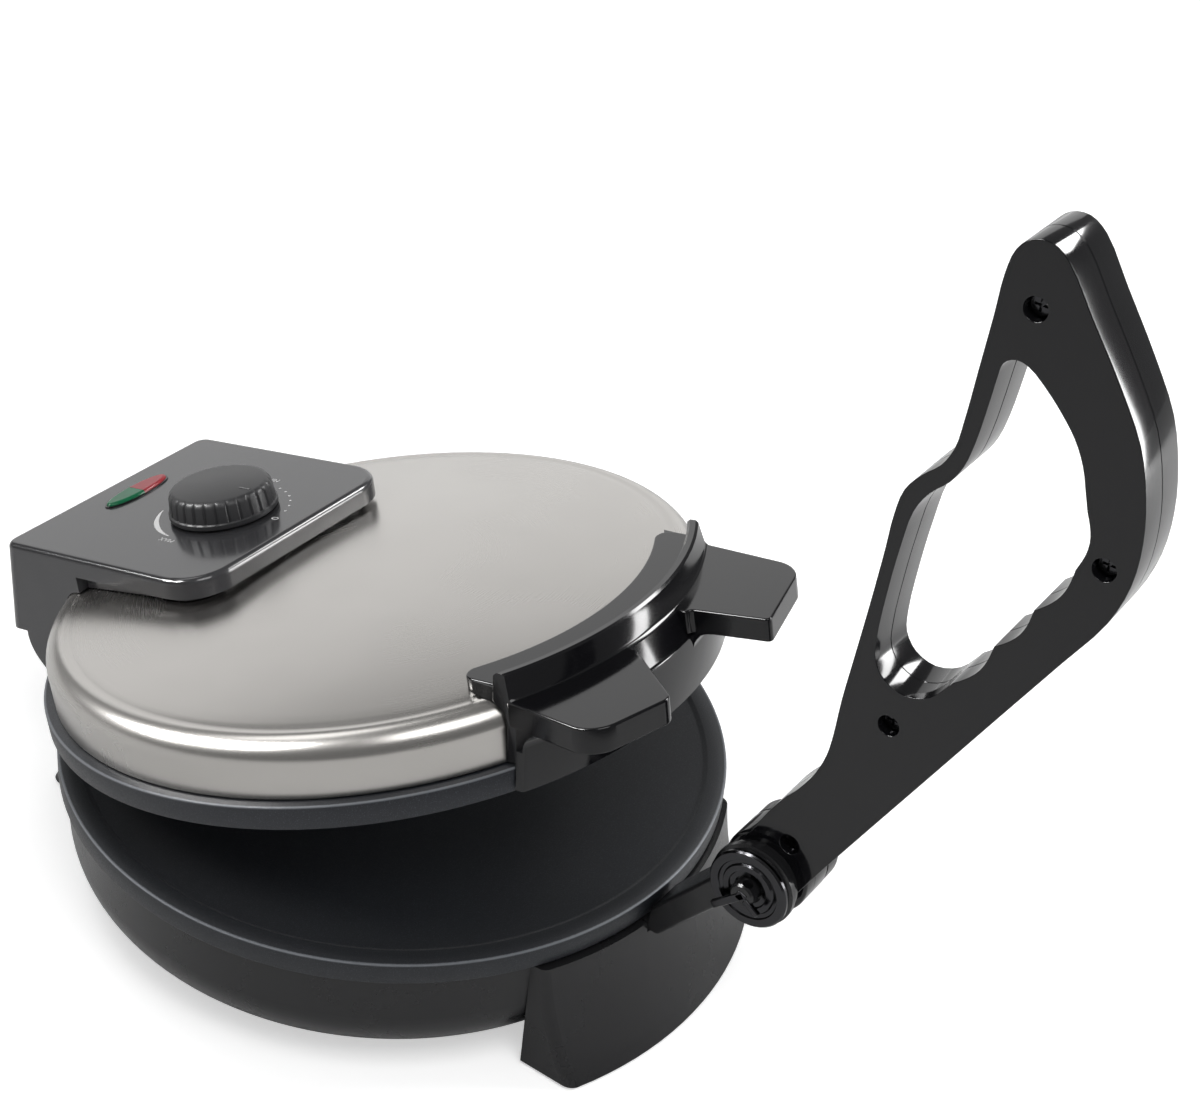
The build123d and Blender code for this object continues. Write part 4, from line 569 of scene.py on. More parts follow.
class Shop:
    """Shapes the bmesh of a piece and makes its finished object."""

    @staticmethod
    def finish(name: str, build: bmesh.types.BMesh, matrix: Matrix, finish: Finish, body: Body,
               replaces: tuple[str, ...] = (), sharp_deg: float = 32.0) -> bpy.types.Object:
        """Closes, places and dresses one piece.

        Args:
            name: object name.
            build: mesh in the piece's own coordinates; it is freed.
            matrix: transform into the part's frame.
            finish: its material.
            body: moving group that it rides on.
            replaces: nodes that it stands for.
            sharp_deg: edges bent more than this stay crisp.

        Returns:
            The object.
        """
        bmesh.ops.remove_doubles(build, verts=build.verts, dist=WELD)
        bmesh.ops.recalc_face_normals(build, faces=build.faces)
        bmesh.ops.transform(build, matrix=matrix, verts=build.verts)
        mesh = bpy.data.meshes.new(name)
        build.to_mesh(mesh)
        build.free()
        mesh.shade_smooth()
        mesh.set_sharp_from_angle(angle=math.radians(sharp_deg))
        piece = bpy.data.objects.new(name, mesh)
        bpy.context.scene.collection.objects.link(piece)
        mesh.materials.append(finish.material)
        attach(piece, body.value)
        if replaces:
            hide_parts(*replaces)
        LOG.info("%s: %d faces on %s", name, len(mesh.polygons), body.value)
        return piece

    @staticmethod
    def turned(build: bmesh.types.BMesh, profile: Outline, steps: int) -> None:
        """Spins a closed (radius, height) outline through a full turn about Z.

        Args:
            build: mesh to add to.
            profile: outline points in metres.
            steps: divisions of the turn.
        """
        points = [build.verts.new((radius, 0.0, height)) for radius, height in profile]
        edges = [build.edges.new(pair) for pair in zip(points, points[1:] + points[:1])]
        bmesh.ops.spin(build, geom=points + edges, cent=ORIGIN, axis=UPWARD, angle=math.tau, steps=steps,
                       use_merge=True, use_duplicate=False)
        bmesh.ops.remove_doubles(build, verts=build.verts, dist=FINE_WELD)

    @staticmethod
    def sector(build: bmesh.types.BMesh, profile: Outline, start_deg: float, end_deg: float,
               steps: int) -> None:
        """Sweeps a closed (radius, height) outline through part of a turn and caps both ends.

        Args:
            build: mesh to add to.
            profile: outline points in metres.
            start_deg: angle of the first end.
            end_deg: angle of the last end.
            steps: divisions of the sweep.
        """
        points = [build.verts.new((radius, 0.0, height)) for radius, height in profile]
        face = build.faces.new(points)
        bmesh.ops.rotate(build, verts=points, cent=ORIGIN,
                         matrix=Matrix.Rotation(math.radians(start_deg), 3, "Z"))
        swept = bmesh.ops.spin(build, geom=[face], cent=ORIGIN, axis=UPWARD,
                               angle=math.radians(end_deg - start_deg), steps=steps)
        if not [item for item in swept["geom_last"] if isinstance(item, bmesh.types.BMFace)]:
            bmesh.ops.holes_fill(build, edges=build.edges)

    @staticmethod
    def arc(centre: Pair, radius: float, start: float, end: float, count: int) -> Outline:
        """Points along an arc, angles in degrees."""
        turns = [math.radians(start + (end - start) * step / count) for step in range(count + 1)]
        return [(centre[0] + radius * math.cos(t), centre[1] + radius * math.sin(t)) for t in turns]

    @staticmethod
    def ring_turn(radius: float, x: float) -> float:
        """Angle, in degrees, at which a circle about the axis passes x on the front side."""
        return math.degrees(math.atan2(-math.sqrt(radius ** 2 - x ** 2), x))

    @staticmethod
    def thicken(build: bmesh.types.BMesh, faces: list[bmesh.types.BMFace], move: Triple,
                keep: bool = True) -> None:
        """Draws faces out along a vector.

        Args:
            build: mesh to work on.
            faces: flat faces to draw out.
            move: the vector.
            keep: whether the faces also stay where they were, which closes the far side.
        """
        raised = bmesh.ops.extrude_face_region(build, geom=faces, use_keep_orig=keep)["geom"]
        bmesh.ops.translate(build, verts=[v for v in raised if isinstance(v, bmesh.types.BMVert)],
                            vec=move)

    @staticmethod
    def round_off(build: bmesh.types.BMesh, geom: list, width: float, segments: int,
                  affect: str = "EDGES") -> None:
        """Rounds the given edges or points."""
        bmesh.ops.bevel(build, geom=geom, offset=width, offset_type="OFFSET", segments=segments,
                        profile=0.5, affect=affect, clamp_overlap=True, material=-1)

    @staticmethod
    def ease(build: bmesh.types.BMesh, width: float, segments: int = 2, from_deg: float = 28.0) -> None:
        """Rounds every edge that is bent more than from_deg.

        Args:
            build: mesh to work on.
            width: size of the rounding.
            segments: faces across it.
            from_deg: smallest bend that counts as an edge.
        """
        bmesh.ops.remove_doubles(build, verts=build.verts, dist=WELD)
        bmesh.ops.recalc_face_normals(build, faces=build.faces)
        bent = [edge for edge in build.edges if len(edge.link_faces) == 2
                and edge.calc_face_angle(0.0) > math.radians(from_deg)]
        Shop.round_off(build, bent, width, segments)

    @staticmethod
    def frame_flats(build: bmesh.types.BMesh, width: float, area: float) -> None:
        """Adds a narrow border inside each large flat face, to keep its shading flat to the edge."""
        flats = [face for face in build.faces if face.calc_area() > area]
        bmesh.ops.inset_individual(build, faces=flats, thickness=width, use_even_offset=True)

    @staticmethod
    def trim(build: bmesh.types.BMesh, point: Vector, outward: Vector) -> None:
        """Cuts away what lies outside a plane and closes the cut.

        Args:
            build: mesh to cut.
            point: a point of the plane.
            outward: normal of the plane, towards what goes.
        """
        geom = list(build.verts) + list(build.edges) + list(build.faces)
        cut = bmesh.ops.bisect_plane(build, geom=geom, dist=FINE_WELD, plane_co=point, plane_no=outward,
                                     clear_outer=True)["geom_cut"]
        rim = [item for item in cut if isinstance(item, bmesh.types.BMEdge)]
        bmesh.ops.contextual_create(build, geom=rim)

    @staticmethod
    def bar(size: Triple, place: Triple, turn_deg: float = 0.0) -> bmesh.types.BMesh:
        """A square bar, moved to its place and then turned about X.

        Args:
            size: its three sides.
            place: its middle before the turn.
            turn_deg: turn about the X axis.

        Returns:
            The bar.
        """
        build = bmesh.new()
        bmesh.ops.create_cube(build, size=1.0)
        bmesh.ops.scale(build, verts=build.verts, vec=size)
        bmesh.ops.translate(build, verts=build.verts, vec=place)
        bmesh.ops.rotate(build, verts=build.verts, cent=ORIGIN,
                         matrix=Matrix.Rotation(math.radians(turn_deg), 3, "X"))
        return build

    @staticmethod
    def merge(target: bmesh.types.BMesh, part: bmesh.types.BMesh) -> None:
        """Adds one mesh to another and frees it.

        Args:
            target: mesh that takes the part.
            part: mesh to add.
        """
        carrier = bpy.data.meshes.new("part")
        part.to_mesh(carrier)
        part.free()
        target.from_mesh(carrier)
        bpy.data.meshes.remove(carrier)


# ------------------------------------------------------------------ lid
@dataclass
class LidShell:
    """Domed steel top of the lid: spun sheet with a rolled shoulder and a plain side band."""

    radius: float = 0.1312
    side_top: float = 0.0240
    bottom: float = 0.0104
    shoulder: float = 0.0090
    rise: float = 0.0066
    sheet: float = 0.0008
    crease: float = 0.00022
    outer_steps: int = 24
    inner_steps: int = 16
    turn_steps: int = 144

    @property
    def flat(self) -> float:
        """Radius at which the dome meets the rolled shoulder."""
        return self.radius - self.shoulder

    def dome(self, radius: float) -> float:
        """Outer height of the top at a radius."""
        curve = (self.flat ** 2 + self.rise ** 2) / (2.0 * self.rise)
        return self.side_top + self.shoulder + self.rise - curve + math.sqrt(curve ** 2 - radius ** 2)

    def profile(self) -> Outline:
        """Returns:
            The closed outline of the sheet, outside first.
        """
        flat, side = self.flat, self.radius - 0.0001
        reach = [flat * step / self.outer_steps for step in range(self.outer_steps)]
        outer = [(radius, self.dome(radius)) for radius in reach]
        outer += [(flat - 0.0022, self.dome(flat - 0.0022) - self.crease * 0.4),
                  (flat - 0.0008, self.dome(flat) - self.crease)]
        outer += Shop.arc((flat, self.side_top), self.shoulder, 88.0, 0.0, 14)
        outer += [(side, self.side_top - 0.0006), (side, self.bottom + 0.0004),
                  (self.radius - 0.0004, self.bottom)]
        wall = self.radius - self.sheet
        inner = [(wall, self.bottom), (wall, self.side_top)]
        inner += Shop.arc((flat, self.side_top), self.shoulder - self.sheet, 0.0, 90.0, 10)[1:]
        reach = [flat * step / self.inner_steps for step in range(self.inner_steps - 1, -1, -1)]
        inner += [(radius, self.dome(radius) - self.sheet) for radius in reach]
        return outer + inner

    def build(self) -> None:
        """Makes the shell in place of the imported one."""
        mesh = bmesh.new()
        Shop.turned(mesh, self.profile(), self.turn_steps)
        Shop.finish("lid_shell_spun", mesh, PLACES.lid_matrix(), Finish.LID_STEEL, Body.LID,
                    ("lid_shell",))


@dataclass
class LidHandle:
    """Front moulding: flange, buttressed ridge, skirt, two ears on hollow fillets.

    An ear is given by its free corners, each with x, y and the size of its rounding, the last one at
    the slot. Near and far are the ends at -X and +X.
    """

    shell: float = 0.1312
    shoulder: float = 0.0090
    side_top: float = 0.0240
    fit: float = 0.00025
    near_top: float = -0.0626
    near_foot: float = -0.0685
    far_top: float = 0.0702
    far_foot: float = 0.0725
    inset: float = 0.0014
    sweep_deg: Pair = (-128.0, -52.0)
    edge: float = 0.0006
    flange_radius: float = 0.1115
    flange_outer: float = 0.1285
    flange_shift: float = 0.0050
    flange_low: float = 0.0338
    flange_top: float = 0.0388
    flange_corner: float = 0.0052
    ridge_in: float = 0.1275
    ridge_out: float = 0.1314
    ridge_top: float = 0.0447
    ear_top: float = 0.0350
    ear_low: float = 0.0254
    ear_edge: float = 0.0008
    slot_flare: float = 0.0026
    skirt: float = 0.1400
    skirt_low: float = 0.0016
    skirt_wall: float = 0.0037
    root: float = 0.1328
    fillet_depth: float = 0.0088
    fillet_back: float = 0.0030
    near_ear: tuple[Triple, ...] = (
        (-0.0708, -0.1580, 0.0110), (-0.0385, -0.1690, 0.0034), (-0.0165, -0.1412, 0.0))
    far_ear: tuple[Triple, ...] = (
        (0.0668, -0.1598, 0.0110), (0.0240, -0.1712, 0.0026), (0.0202, -0.1412, 0.0))

    def outer_profile(self) -> Outline:
        """Returns:
            Closed section through ridge and skirt.
        """
        top, skirt, low, wall = self.ridge_top, self.skirt, self.skirt_low, self.skirt_wall
        return [
            (self.ridge_in, 0.0340), (self.ridge_in, top - 0.0012), (self.ridge_in + 0.0012, top),
            (self.ridge_out - 0.0004, top + 0.0002), (self.ridge_out + 0.0006, top - 0.0006),
            (0.1337, self.ear_top + 0.0010), (0.1345, self.ear_top), (0.1356, self.ear_top - 0.0006),
            (skirt - 0.0010, 0.0250), (skirt - 0.0006, 0.0245), (skirt + 0.0002, 0.0243),
            (skirt + 0.0003, 0.0236), (skirt - 0.0004, low), (skirt - wall, low),
            (skirt - wall, 0.0110), (0.1340, 0.0240), (0.1320, 0.0310),
        ]

    def inner_profile(self) -> Outline:
        """Returns:
            Closed section that hugs the lid from dome to skirt.
        """
        hug = Shop.arc((self.shell - self.shoulder, self.side_top), self.shoulder + self.fit,
                       0.0, 90.0, 7)
        return [
            (0.1180, 0.0342), (0.1180, self.flange_top - 0.0002),
            (self.ridge_in + 0.0010, self.flange_top - 0.0008), (0.1310, 0.0360), (0.1338, 0.0320),
            (0.1350, self.side_top), (0.1370, 0.0110), (self.shell + self.fit, 0.0110), *hug,
        ]

    def splay(self, mesh: bmesh.types.BMesh, inset: float) -> None:
        """Cuts both ends along the splayed planes.

        Args:
            mesh: mesh to cut.
            inset: how far the cuts are set back.
        """
        for top, foot, side in ((self.near_top, self.near_foot, -1.0),
                                (self.far_top, self.far_foot, 1.0)):
            lean = Vector((1.0, 0.0, (foot - top) / self.ridge_top)).normalized() * side
            Shop.trim(mesh, Vector((foot - side * inset, 0.0, 0.0)), lean)

    def flange_end(self, end_x: float, side: float) -> tuple[Pair, float, float]:
        """Rounded inner corner at one end of the flange.

        Args:
            end_x: where the end lies.
            side: -1 at the near end, 1 at the far end.

        Returns:
            Middle of the corner's arc, the angle at which it meets the inner edge, and the angle at
            which the outer edge meets the end.
        """
        x = end_x - side * self.flange_corner
        y = -math.sqrt((self.flange_radius + self.flange_corner) ** 2 - (x - self.flange_shift) ** 2)
        turn = math.degrees(math.atan2(-y, self.flange_shift - x))
        return (x, y), turn, Shop.ring_turn(self.flange_outer, end_x)

    def flange(self) -> bmesh.types.BMesh:
        """Returns:
            The flange with rounded inner corners.
        """
        near, near_turn, near_end = self.flange_end(self.near_top + self.inset, -1.0)
        far, far_turn, far_end = self.flange_end(self.far_top - self.inset, 1.0)
        plan = Shop.arc((0.0, 0.0), self.flange_outer, -90.0, near_end, 10)
        plan += Shop.arc(near, self.flange_corner, 180.0, near_turn, 8)
        plan += Shop.arc((self.flange_shift, 0.0), self.flange_radius, near_turn - 180.0,
                         far_turn - 180.0, 40)[1:-1]
        plan += Shop.arc(far, self.flange_corner, far_turn, 0.0, 8)
        plan += Shop.arc((0.0, 0.0), self.flange_outer, far_end, -90.0, 10)[:-1]
        mesh = bmesh.new()
        face = mesh.faces.new([mesh.verts.new((x, y, self.flange_low)) for x, y in plan])
        Shop.thicken(mesh, [face], (0.0, 0.0, self.flange_top - self.flange_low))
        Shop.ease(mesh, self.edge, 3, 40.0)
        Shop.frame_flats(mesh, 0.0003, 6.0e-5)
        return mesh

    def ear(self, corners: tuple[Triple, ...], root_x: float, flare: float,
            splay: float) -> bmesh.types.BMesh:
        """One lifting ear.

        Args:
            corners: free corners with their roundings, the last one at the slot.
            root_x: where its long side meets the ridge.
            flare: radius of the hollow corner at the slot, signed away from the ear.
            splay: how far the long side leans out per unit of depth.

        Returns:
            The ear.
        """
        mesh = bmesh.new()
        slot_x, slot_y, _ = corners[-1]
        bend = [(slot_x + flare * (1.0 - math.cos(turn)), slot_y + abs(flare) * math.sin(turn))
                for turn in (math.radians(15.0 * step) for step in range(1, 7))]
        back = Shop.arc((0.0, 0.0), self.root, Shop.ring_turn(self.root, bend[-1][0]),
                        Shop.ring_turn(self.root, root_x), 12)
        plan = [(x, y) for x, y, _ in corners] + bend + back
        points = [mesh.verts.new((x, y, self.ear_low)) for x, y in plan]
        mesh.faces.new(points)
        for point, (_, _, radius) in zip(points, corners):
            if radius:
                Shop.round_off(mesh, [point], radius * 0.9, 7, "VERTICES")
        Shop.thicken(mesh, list(mesh.faces), (0.0, 0.0, self.ear_top - self.ear_low))
        reach = corners[0][0] - slot_x
        for vert in mesh.verts:
            share = max(0.0, (vert.co.x - slot_x) / reach)
            vert.co.x += splay * share * (self.ear_top - vert.co.z)
        Shop.ease(mesh, self.ear_edge, 4, 40.0)
        Shop.frame_flats(mesh, 0.0004, 3.5e-5)
        return mesh

    def fillet(self, outer: Pair, root_x: float, slot_x: float,
               splay: float) -> bmesh.types.BMesh:
        """Hollow fillet under an ear, cut flush with the sides of the ear.

        Args:
            outer: free corner of the long side.
            root_x: where the long side meets the ridge.
            slot_x: side of the ear at the slot.
            splay: how far the long side leans out per unit of depth.

        Returns:
            The fillet.
        """
        mesh = bmesh.new()
        depth, low, back = self.fillet_depth, self.ear_low + 0.0006, self.skirt - self.fillet_back
        hollow = Shop.arc((self.skirt + depth, low - depth), depth, 180.0, 90.0, 9)
        middle = -90.0 + math.degrees(math.asin((root_x + slot_x) / 2.0 / self.skirt))
        Shop.sector(mesh, [(back, low - depth), *hollow, (back, low)], middle - 18.0, middle + 18.0, 24)
        root_y = -math.sqrt(self.root ** 2 - root_x ** 2)
        along = Vector((outer[0] - root_x, outer[1] - root_y, 0.0)).normalized()
        outward = along.cross(Vector((splay, 0.0, -1.0))).normalized()
        outward = outward if outward.x * root_x > 0 else -outward
        Shop.trim(mesh, Vector((root_x, root_y, self.ear_top)) - outward * 0.0002, outward)
        Shop.trim(mesh, Vector((slot_x, 0.0, 0.0)), Vector((-math.copysign(1.0, root_x), 0.0, 0.0)))
        return mesh

    def build(self) -> None:
        """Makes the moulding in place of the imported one."""
        mesh = bmesh.new()
        Shop.sector(mesh, self.outer_profile(), *self.sweep_deg, 72)
        self.splay(mesh, 0.0)
        Shop.ease(mesh, self.edge, 3, 50.0)
        Shop.frame_flats(mesh, 0.0003, 1.2e-4)
        hug = bmesh.new()
        Shop.sector(hug, self.inner_profile(), *self.sweep_deg, 64)
        self.splay(hug, self.inset)
        parts = [hug, self.flange()]
        for corners, top, foot, flare in (
                (self.near_ear, self.near_top, self.near_foot, self.slot_flare),
                (self.far_ear, self.far_top, self.far_foot, -self.slot_flare)):
            lean = (foot - top) / self.ridge_top
            root_x = top + lean * (self.ridge_top - self.ear_top)
            parts.append(self.ear(corners, root_x, flare, lean))
            parts.append(self.fillet(corners[0][:2], root_x, corners[-1][0], lean))
        for part in parts:
            Shop.merge(mesh, part)
        Shop.finish("lid_handle_moulded", mesh, PLACES.lid_matrix(), Finish.BODY_BLACK, Body.LID,
                    ("lid_handle",))


@dataclass
class DialKnob:
    """Control knob: tapered side of narrow flats between thin grooves, pointer line on top."""

    foot_radius: float = 0.0228
    top_radius: float = 0.0209
    lift: float = 0.0010
    height: float = 0.0116
    flats: int = 28
    columns_per_flat: int = 6
    groove: float = 0.0006
    groove_reach: float = 0.015
    pointer: Triple = (0.0009, 0.0062, 0.0003)

    def build(self) -> None:
        """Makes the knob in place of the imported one."""
        low, high = self.lift, self.lift + self.height
        foot, top = self.foot_radius, self.top_radius
        profile = [(0.0, low), (foot - 0.0006, low), (foot, low + 0.0006), (foot, low + 0.0022),
                   (foot - 0.0006, low + 0.0027), (top + 0.0006, high - 0.0026), (top, high - 0.0012),
                   (top - 0.0008, high - 0.0004), (top - 0.0022, high), (0.0, high)]
        mesh = bmesh.new()
        columns = self.flats * self.columns_per_flat
        Shop.turned(mesh, profile, columns)
        for vert in mesh.verts:
            radius = math.hypot(vert.co.x, vert.co.y)
            column = round(math.atan2(vert.co.y, vert.co.x) / math.tau * columns)
            on_side = low + 0.0024 < vert.co.z < high - 0.0008 and radius > self.groove_reach
            if on_side and column % self.columns_per_flat == 0:
                vert.co.x *= (radius - self.groove) / radius
                vert.co.y *= (radius - self.groove) / radius
        pointer = Shop.bar(self.pointer, (0.0, -top + self.pointer[1], high + 0.0001))
        Shop.ease(pointer, 0.0001, 1)
        Shop.merge(mesh, pointer)
        Shop.finish("dial_knob", mesh, PLACES.box_matrix(0.0, PLACES.knob_y), Finish.KNOB_BLACK,
                    Body.DIAL, ("knob",))


# ------------------------------------------------------------------ lever
# Screw holes of the near half: (out from the pivot, up) in millimetres.
SCREW_HOLES = ((54.5, 255.9), (94.0, 181.8), (36.6, 90.7), (8.9, 20.8))


@dataclass
class LeverHalf:
    """One moulded half of the lever: rounded outline, window with four finger hollows, screw holes.

    Outlines are (out from the pivot, up) in millimetres.
    """

    side: float
    holes: tuple[Pair, ...] = ()
    outline: tuple[Pair, ...] = (
        (10.5, -5.4), (3.6, -12.2), (-5.6, -12.4), (-12.2, -5.6), (-13.0, 4.0), (-6.9, 16.3),
        (2.5, 35.9), (9.4, 46.4), (14.6, 56.5), (17.6, 66.7), (18.6, 76.0), (19.2, 92.0),
        (20.8, 112.0), (22.6, 135.0), (24.0, 157.0), (24.6, 170.0), (26.4, 180.2), (31.0, 187.4),
        (36.6, 193.6), (40.0, 201.4), (41.2, 212.0), (42.2, 230.0), (43.3, 250.0), (43.8, 263.0),
        (45.6, 271.4), (49.4, 275.6), (54.7, 276.4), (60.4, 273.0), (70.4, 259.6), (84.0, 241.2),
        (94.0, 225.6), (99.4, 210.4), (102.2, 195.7), (102.2, 180.2), (98.2, 164.4), (87.8, 144.1),
        (73.2, 116.0), (55.4, 81.5), (37.6, 47.1), (22.6, 18.0))
    window_top: tuple[Pair, ...] = (
        (47.4, 229.0), (48.4, 235.4), (51.9, 237.9), (56.4, 237.2), (63.2, 232.4), (69.3, 226.8),
        (75.2, 220.2), (79.6, 212.6), (82.4, 204.6), (84.4, 198.6))
    cusps: tuple[Pair, ...] = (
        (84.4, 198.6), (85.4, 177.9), (75.8, 157.8), (66.0, 138.8), (55.4, 118.6))
    window_low: tuple[Pair, ...] = (
        (55.4, 118.6), (48.8, 109.2), (40.3, 105.4), (32.2, 107.6), (27.4, 113.6), (26.2, 122.0),
        (26.6, 141.0), (28.0, 160.0), (29.9, 174.2), (34.0, 182.9), (39.8, 189.6), (43.2, 196.6),
        (45.2, 206.0), (46.6, 219.0), (47.4, 229.0))
    hollow: float = 2.6
    edge: float = 1.1
    hub_half: float = 0.0100
    tip_half: float = 0.0132
    tip_height: float = 0.250
    hub_radius: float = 0.01740
    hub_step: float = 0.00340
    hub_edge: float = 0.0014
    bush: float = 0.00740
    hole: float = 0.00400
    face_edge: float = 0.0013
    seam_edge: float = 0.0003
    hollow_steps: int = 10
    hole_steps: int = 28

    def curve(self, points: tuple[Pair, ...], closed: bool, steps: int = 3) -> list[Vector]:
        """Passes a smooth line through points.

        Args:
            points: what it passes through.
            closed: whether it returns to the first.
            steps: divisions of each span.

        Returns:
            The points of the line, without the last one.
        """
        knots = [Vector(point) for point in points]
        if closed:
            knots = [knots[-1]] + knots + knots[:2]
        else:
            knots = [knots[0] * 2 - knots[1]] + knots + [knots[-1] * 2 - knots[-2]]
        line = []
        for a, b, c, d in zip(knots, knots[1:], knots[2:], knots[3:]):
            t1 = (b - a).length ** 0.5
            t2 = t1 + (c - b).length ** 0.5
            t3 = t2 + (d - c).length ** 0.5
            for step in range(steps):
                t = t1 + (t2 - t1) * step / steps
                ab = a.lerp(b, t / t1)
                bc = b.lerp(c, (t - t1) / (t2 - t1))
                cd = c.lerp(d, (t - t2) / (t3 - t2))
                first, last = ab.lerp(bc, t / t2), bc.lerp(cd, (t - t1) / (t3 - t1))
                line.append(first.lerp(last, (t - t1) / (t2 - t1)))
        return line

    def window(self) -> list[Vector]:
        """Returns:
            Edge of the finger window.
        """
        line = self.curve(self.window_top, False)
        for start, end in zip(self.cusps, self.cusps[1:]):
            a, b = Vector(start), Vector(end)
            out = Vector((a.y - b.y, b.x - a.x)).normalized()
            for step in range(self.hollow_steps):
                bulge = out * self.hollow * math.sin(math.pi * step / self.hollow_steps)
                line.append(a.lerp(b, step / self.hollow_steps) + bulge)
        return line + self.curve(self.window_low, False)

    def rim(self) -> list[Vector]:
        """Returns:
            The outline, moved out by the edge allowance.
        """
        plain = self.curve(self.outline, True)
        count = len(plain)
        outer = []
        for index, point in enumerate(plain):
            along = (plain[(index + 1) % count] - plain[index - 1]).normalized()
            outer.append(point + Vector((along.y, -along.x)) * self.edge)
        middle = sum(plain, Vector((0.0, 0.0))) / count
        if sum((p - middle).length for p in outer) < sum((p - middle).length for p in plain):
            outer = [point * 2 - moved for point, moved in zip(plain, outer)]
        return outer

    def circle(self, middle: Pair, radius: float) -> list[Vector]:
        """Edge of a round hole, in millimetres."""
        turns = [step * math.tau / self.hole_steps for step in range(self.hole_steps)]
        return [Vector((middle[0] + radius * math.cos(turn), middle[1] + radius * math.sin(turn)))
                for turn in turns]

    def loops(self) -> list[list[Vector]]:
        """Returns:
            Outline, window, bush hole and screw holes.
        """
        screws = [self.circle(hole, self.hole * MM_PER_M) for hole in self.holes]
        return [self.rim(), self.window(), self.circle((0.0, 0.0), self.bush * MM_PER_M), *screws]

    def half_width(self, height: float) -> float:
        """Half thickness at a height above the pivot."""
        return self.hub_half + (self.tip_half - self.hub_half) * height / self.tip_height

    def blade(self) -> bmesh.types.BMesh:
        """Returns:
            The tapering blade with its window and holes, its seam at x nought.
        """
        mesh = bmesh.new()
        for loop in self.loops():
            ring = [mesh.verts.new((0.0, -point.x / MM_PER_M, point.y / MM_PER_M)) for point in loop]
            for pair in zip(ring, ring[1:] + ring[:1]):
                mesh.edges.new(pair)
        bmesh.ops.triangle_fill(mesh, edges=mesh.edges, use_beauty=True)
        Shop.thicken(mesh, list(mesh.faces), (self.hub_half, 0.0, 0.0))
        bmesh.ops.recalc_face_normals(mesh, faces=mesh.faces)
        for level, width, segments in ((self.hub_half, self.face_edge, 4), (0.0, self.seam_edge, 1)):
            rim = [edge for edge in mesh.edges if edge.calc_face_angle(0.0) > FULL_BEND
                   and all(abs(v.co.x - level) < WELD for v in edge.verts)]
            Shop.round_off(mesh, rim, width, segments)
        flat = [face for face in mesh.faces
                if all(abs(v.co.x - self.hub_half) < WELD for v in face.verts)]
        bmesh.ops.inset_region(mesh, faces=flat, thickness=0.0004, use_even_offset=True)
        for vert in mesh.verts:
            vert.co.x *= self.half_width(vert.co.z) / self.hub_half
        return mesh

    def hub(self) -> bmesh.types.BMesh:
        """Returns:
            The round boss about the pivot, lower on the near half.
        """
        mesh = bmesh.new()
        face_x = self.hub_half - (self.hub_step if self.side < 0 else 0.0)
        edge = self.hub_edge
        rounded = Shop.arc((self.hub_radius - edge, face_x - edge), edge, 0.0, 90.0, 5)
        seam = 0.0001
        Shop.turned(mesh, [(self.bush, seam), (self.hub_radius, seam), *rounded, (self.bush, face_x)],
                    64)
        bmesh.ops.rotate(mesh, verts=mesh.verts, cent=ORIGIN,
                         matrix=Matrix.Rotation(math.pi / 2, 3, "Y"))
        return mesh

    def build(self) -> None:
        """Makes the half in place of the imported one."""
        mesh = self.blade()
        Shop.merge(mesh, self.hub())
        bmesh.ops.scale(mesh, verts=mesh.verts, vec=(self.side, 1.0, 1.0))
        name = "near" if self.side < 0 else "far"
        Shop.finish(f"lever_{name}_moulded", mesh, Matrix.Translation(PLACES.pivot), Finish.LEVER_BLACK,
                    Body.LEVER, (f"lever_half_{name}",))


# ------------------------------------------------------------------ pivot
@dataclass
class PivotEnd:
    """Stepped cap on the pivot and the flat split pin through the shaft.

    A bar of the pin is given by its three sides, its middle, and its turn about the lever's axis.
    """

    arm_x: float = -0.0175
    cap: float = 0.0022
    cap_radius: float = 0.0163
    shaft_radius: float = 0.0058
    pin_x: float = -0.0236
    pin_thick: float = 0.0021
    bars: tuple[tuple[Pair, Triple, float], ...] = (
        ((0.0165, 0.0032), (0.0, 0.0066, 0.0), -44.0),
        ((0.0075, 0.0024), (0.0, -0.0056, 0.0), 33.0),
        ((0.0040, 0.0040), (0.0, 0.0, 0.0), 20.0))

    def cap_piece(self) -> None:
        """Turns the cap with its two shallow steps."""
        top, radius, shaft = self.cap, self.cap_radius, self.shaft_radius
        profile = [(shaft, 0.0), (radius - 0.0005, 0.0), (radius, 0.0005),
                   (radius, top - 0.0007), (radius - 0.0007, top), (0.0126, top),
                   (0.0122, top - 0.0007), (0.0108, top - 0.0009), (0.0102, top - 0.0002),
                   (0.0080, top - 0.0001), (0.0076, top - 0.0008), (shaft, top - 0.0008)]
        mesh = bmesh.new()
        Shop.turned(mesh, profile, 72)
        turn = PLACES.pivot_matrix(self.arm_x) @ Matrix.Rotation(-math.pi / 2, 4, "Y")
        Shop.finish("pivot_cap_stepped", mesh, turn, Finish.DARK_STEEL_AND_HOLE_SHADE, Body.BASE, ("pivot_cap",))

    def pin_piece(self) -> None:
        """Bar and bent leg of the pin through the shaft end."""
        mesh = bmesh.new()
        for sides, place, turn_deg in self.bars:
            bar = Shop.bar((self.pin_thick, *sides), place, turn_deg)
            Shop.ease(bar, 0.0005, 3)
            Shop.merge(mesh, bar)
        Shop.finish("split_pin_bar", mesh, PLACES.pivot_matrix(self.pin_x), Finish.DARK_STEEL_AND_HOLE_SHADE, Body.BASE,
                    ("split_pin",))

    def build(self) -> None:
        """Makes cap and pin."""
        self.cap_piece()
        self.pin_piece()


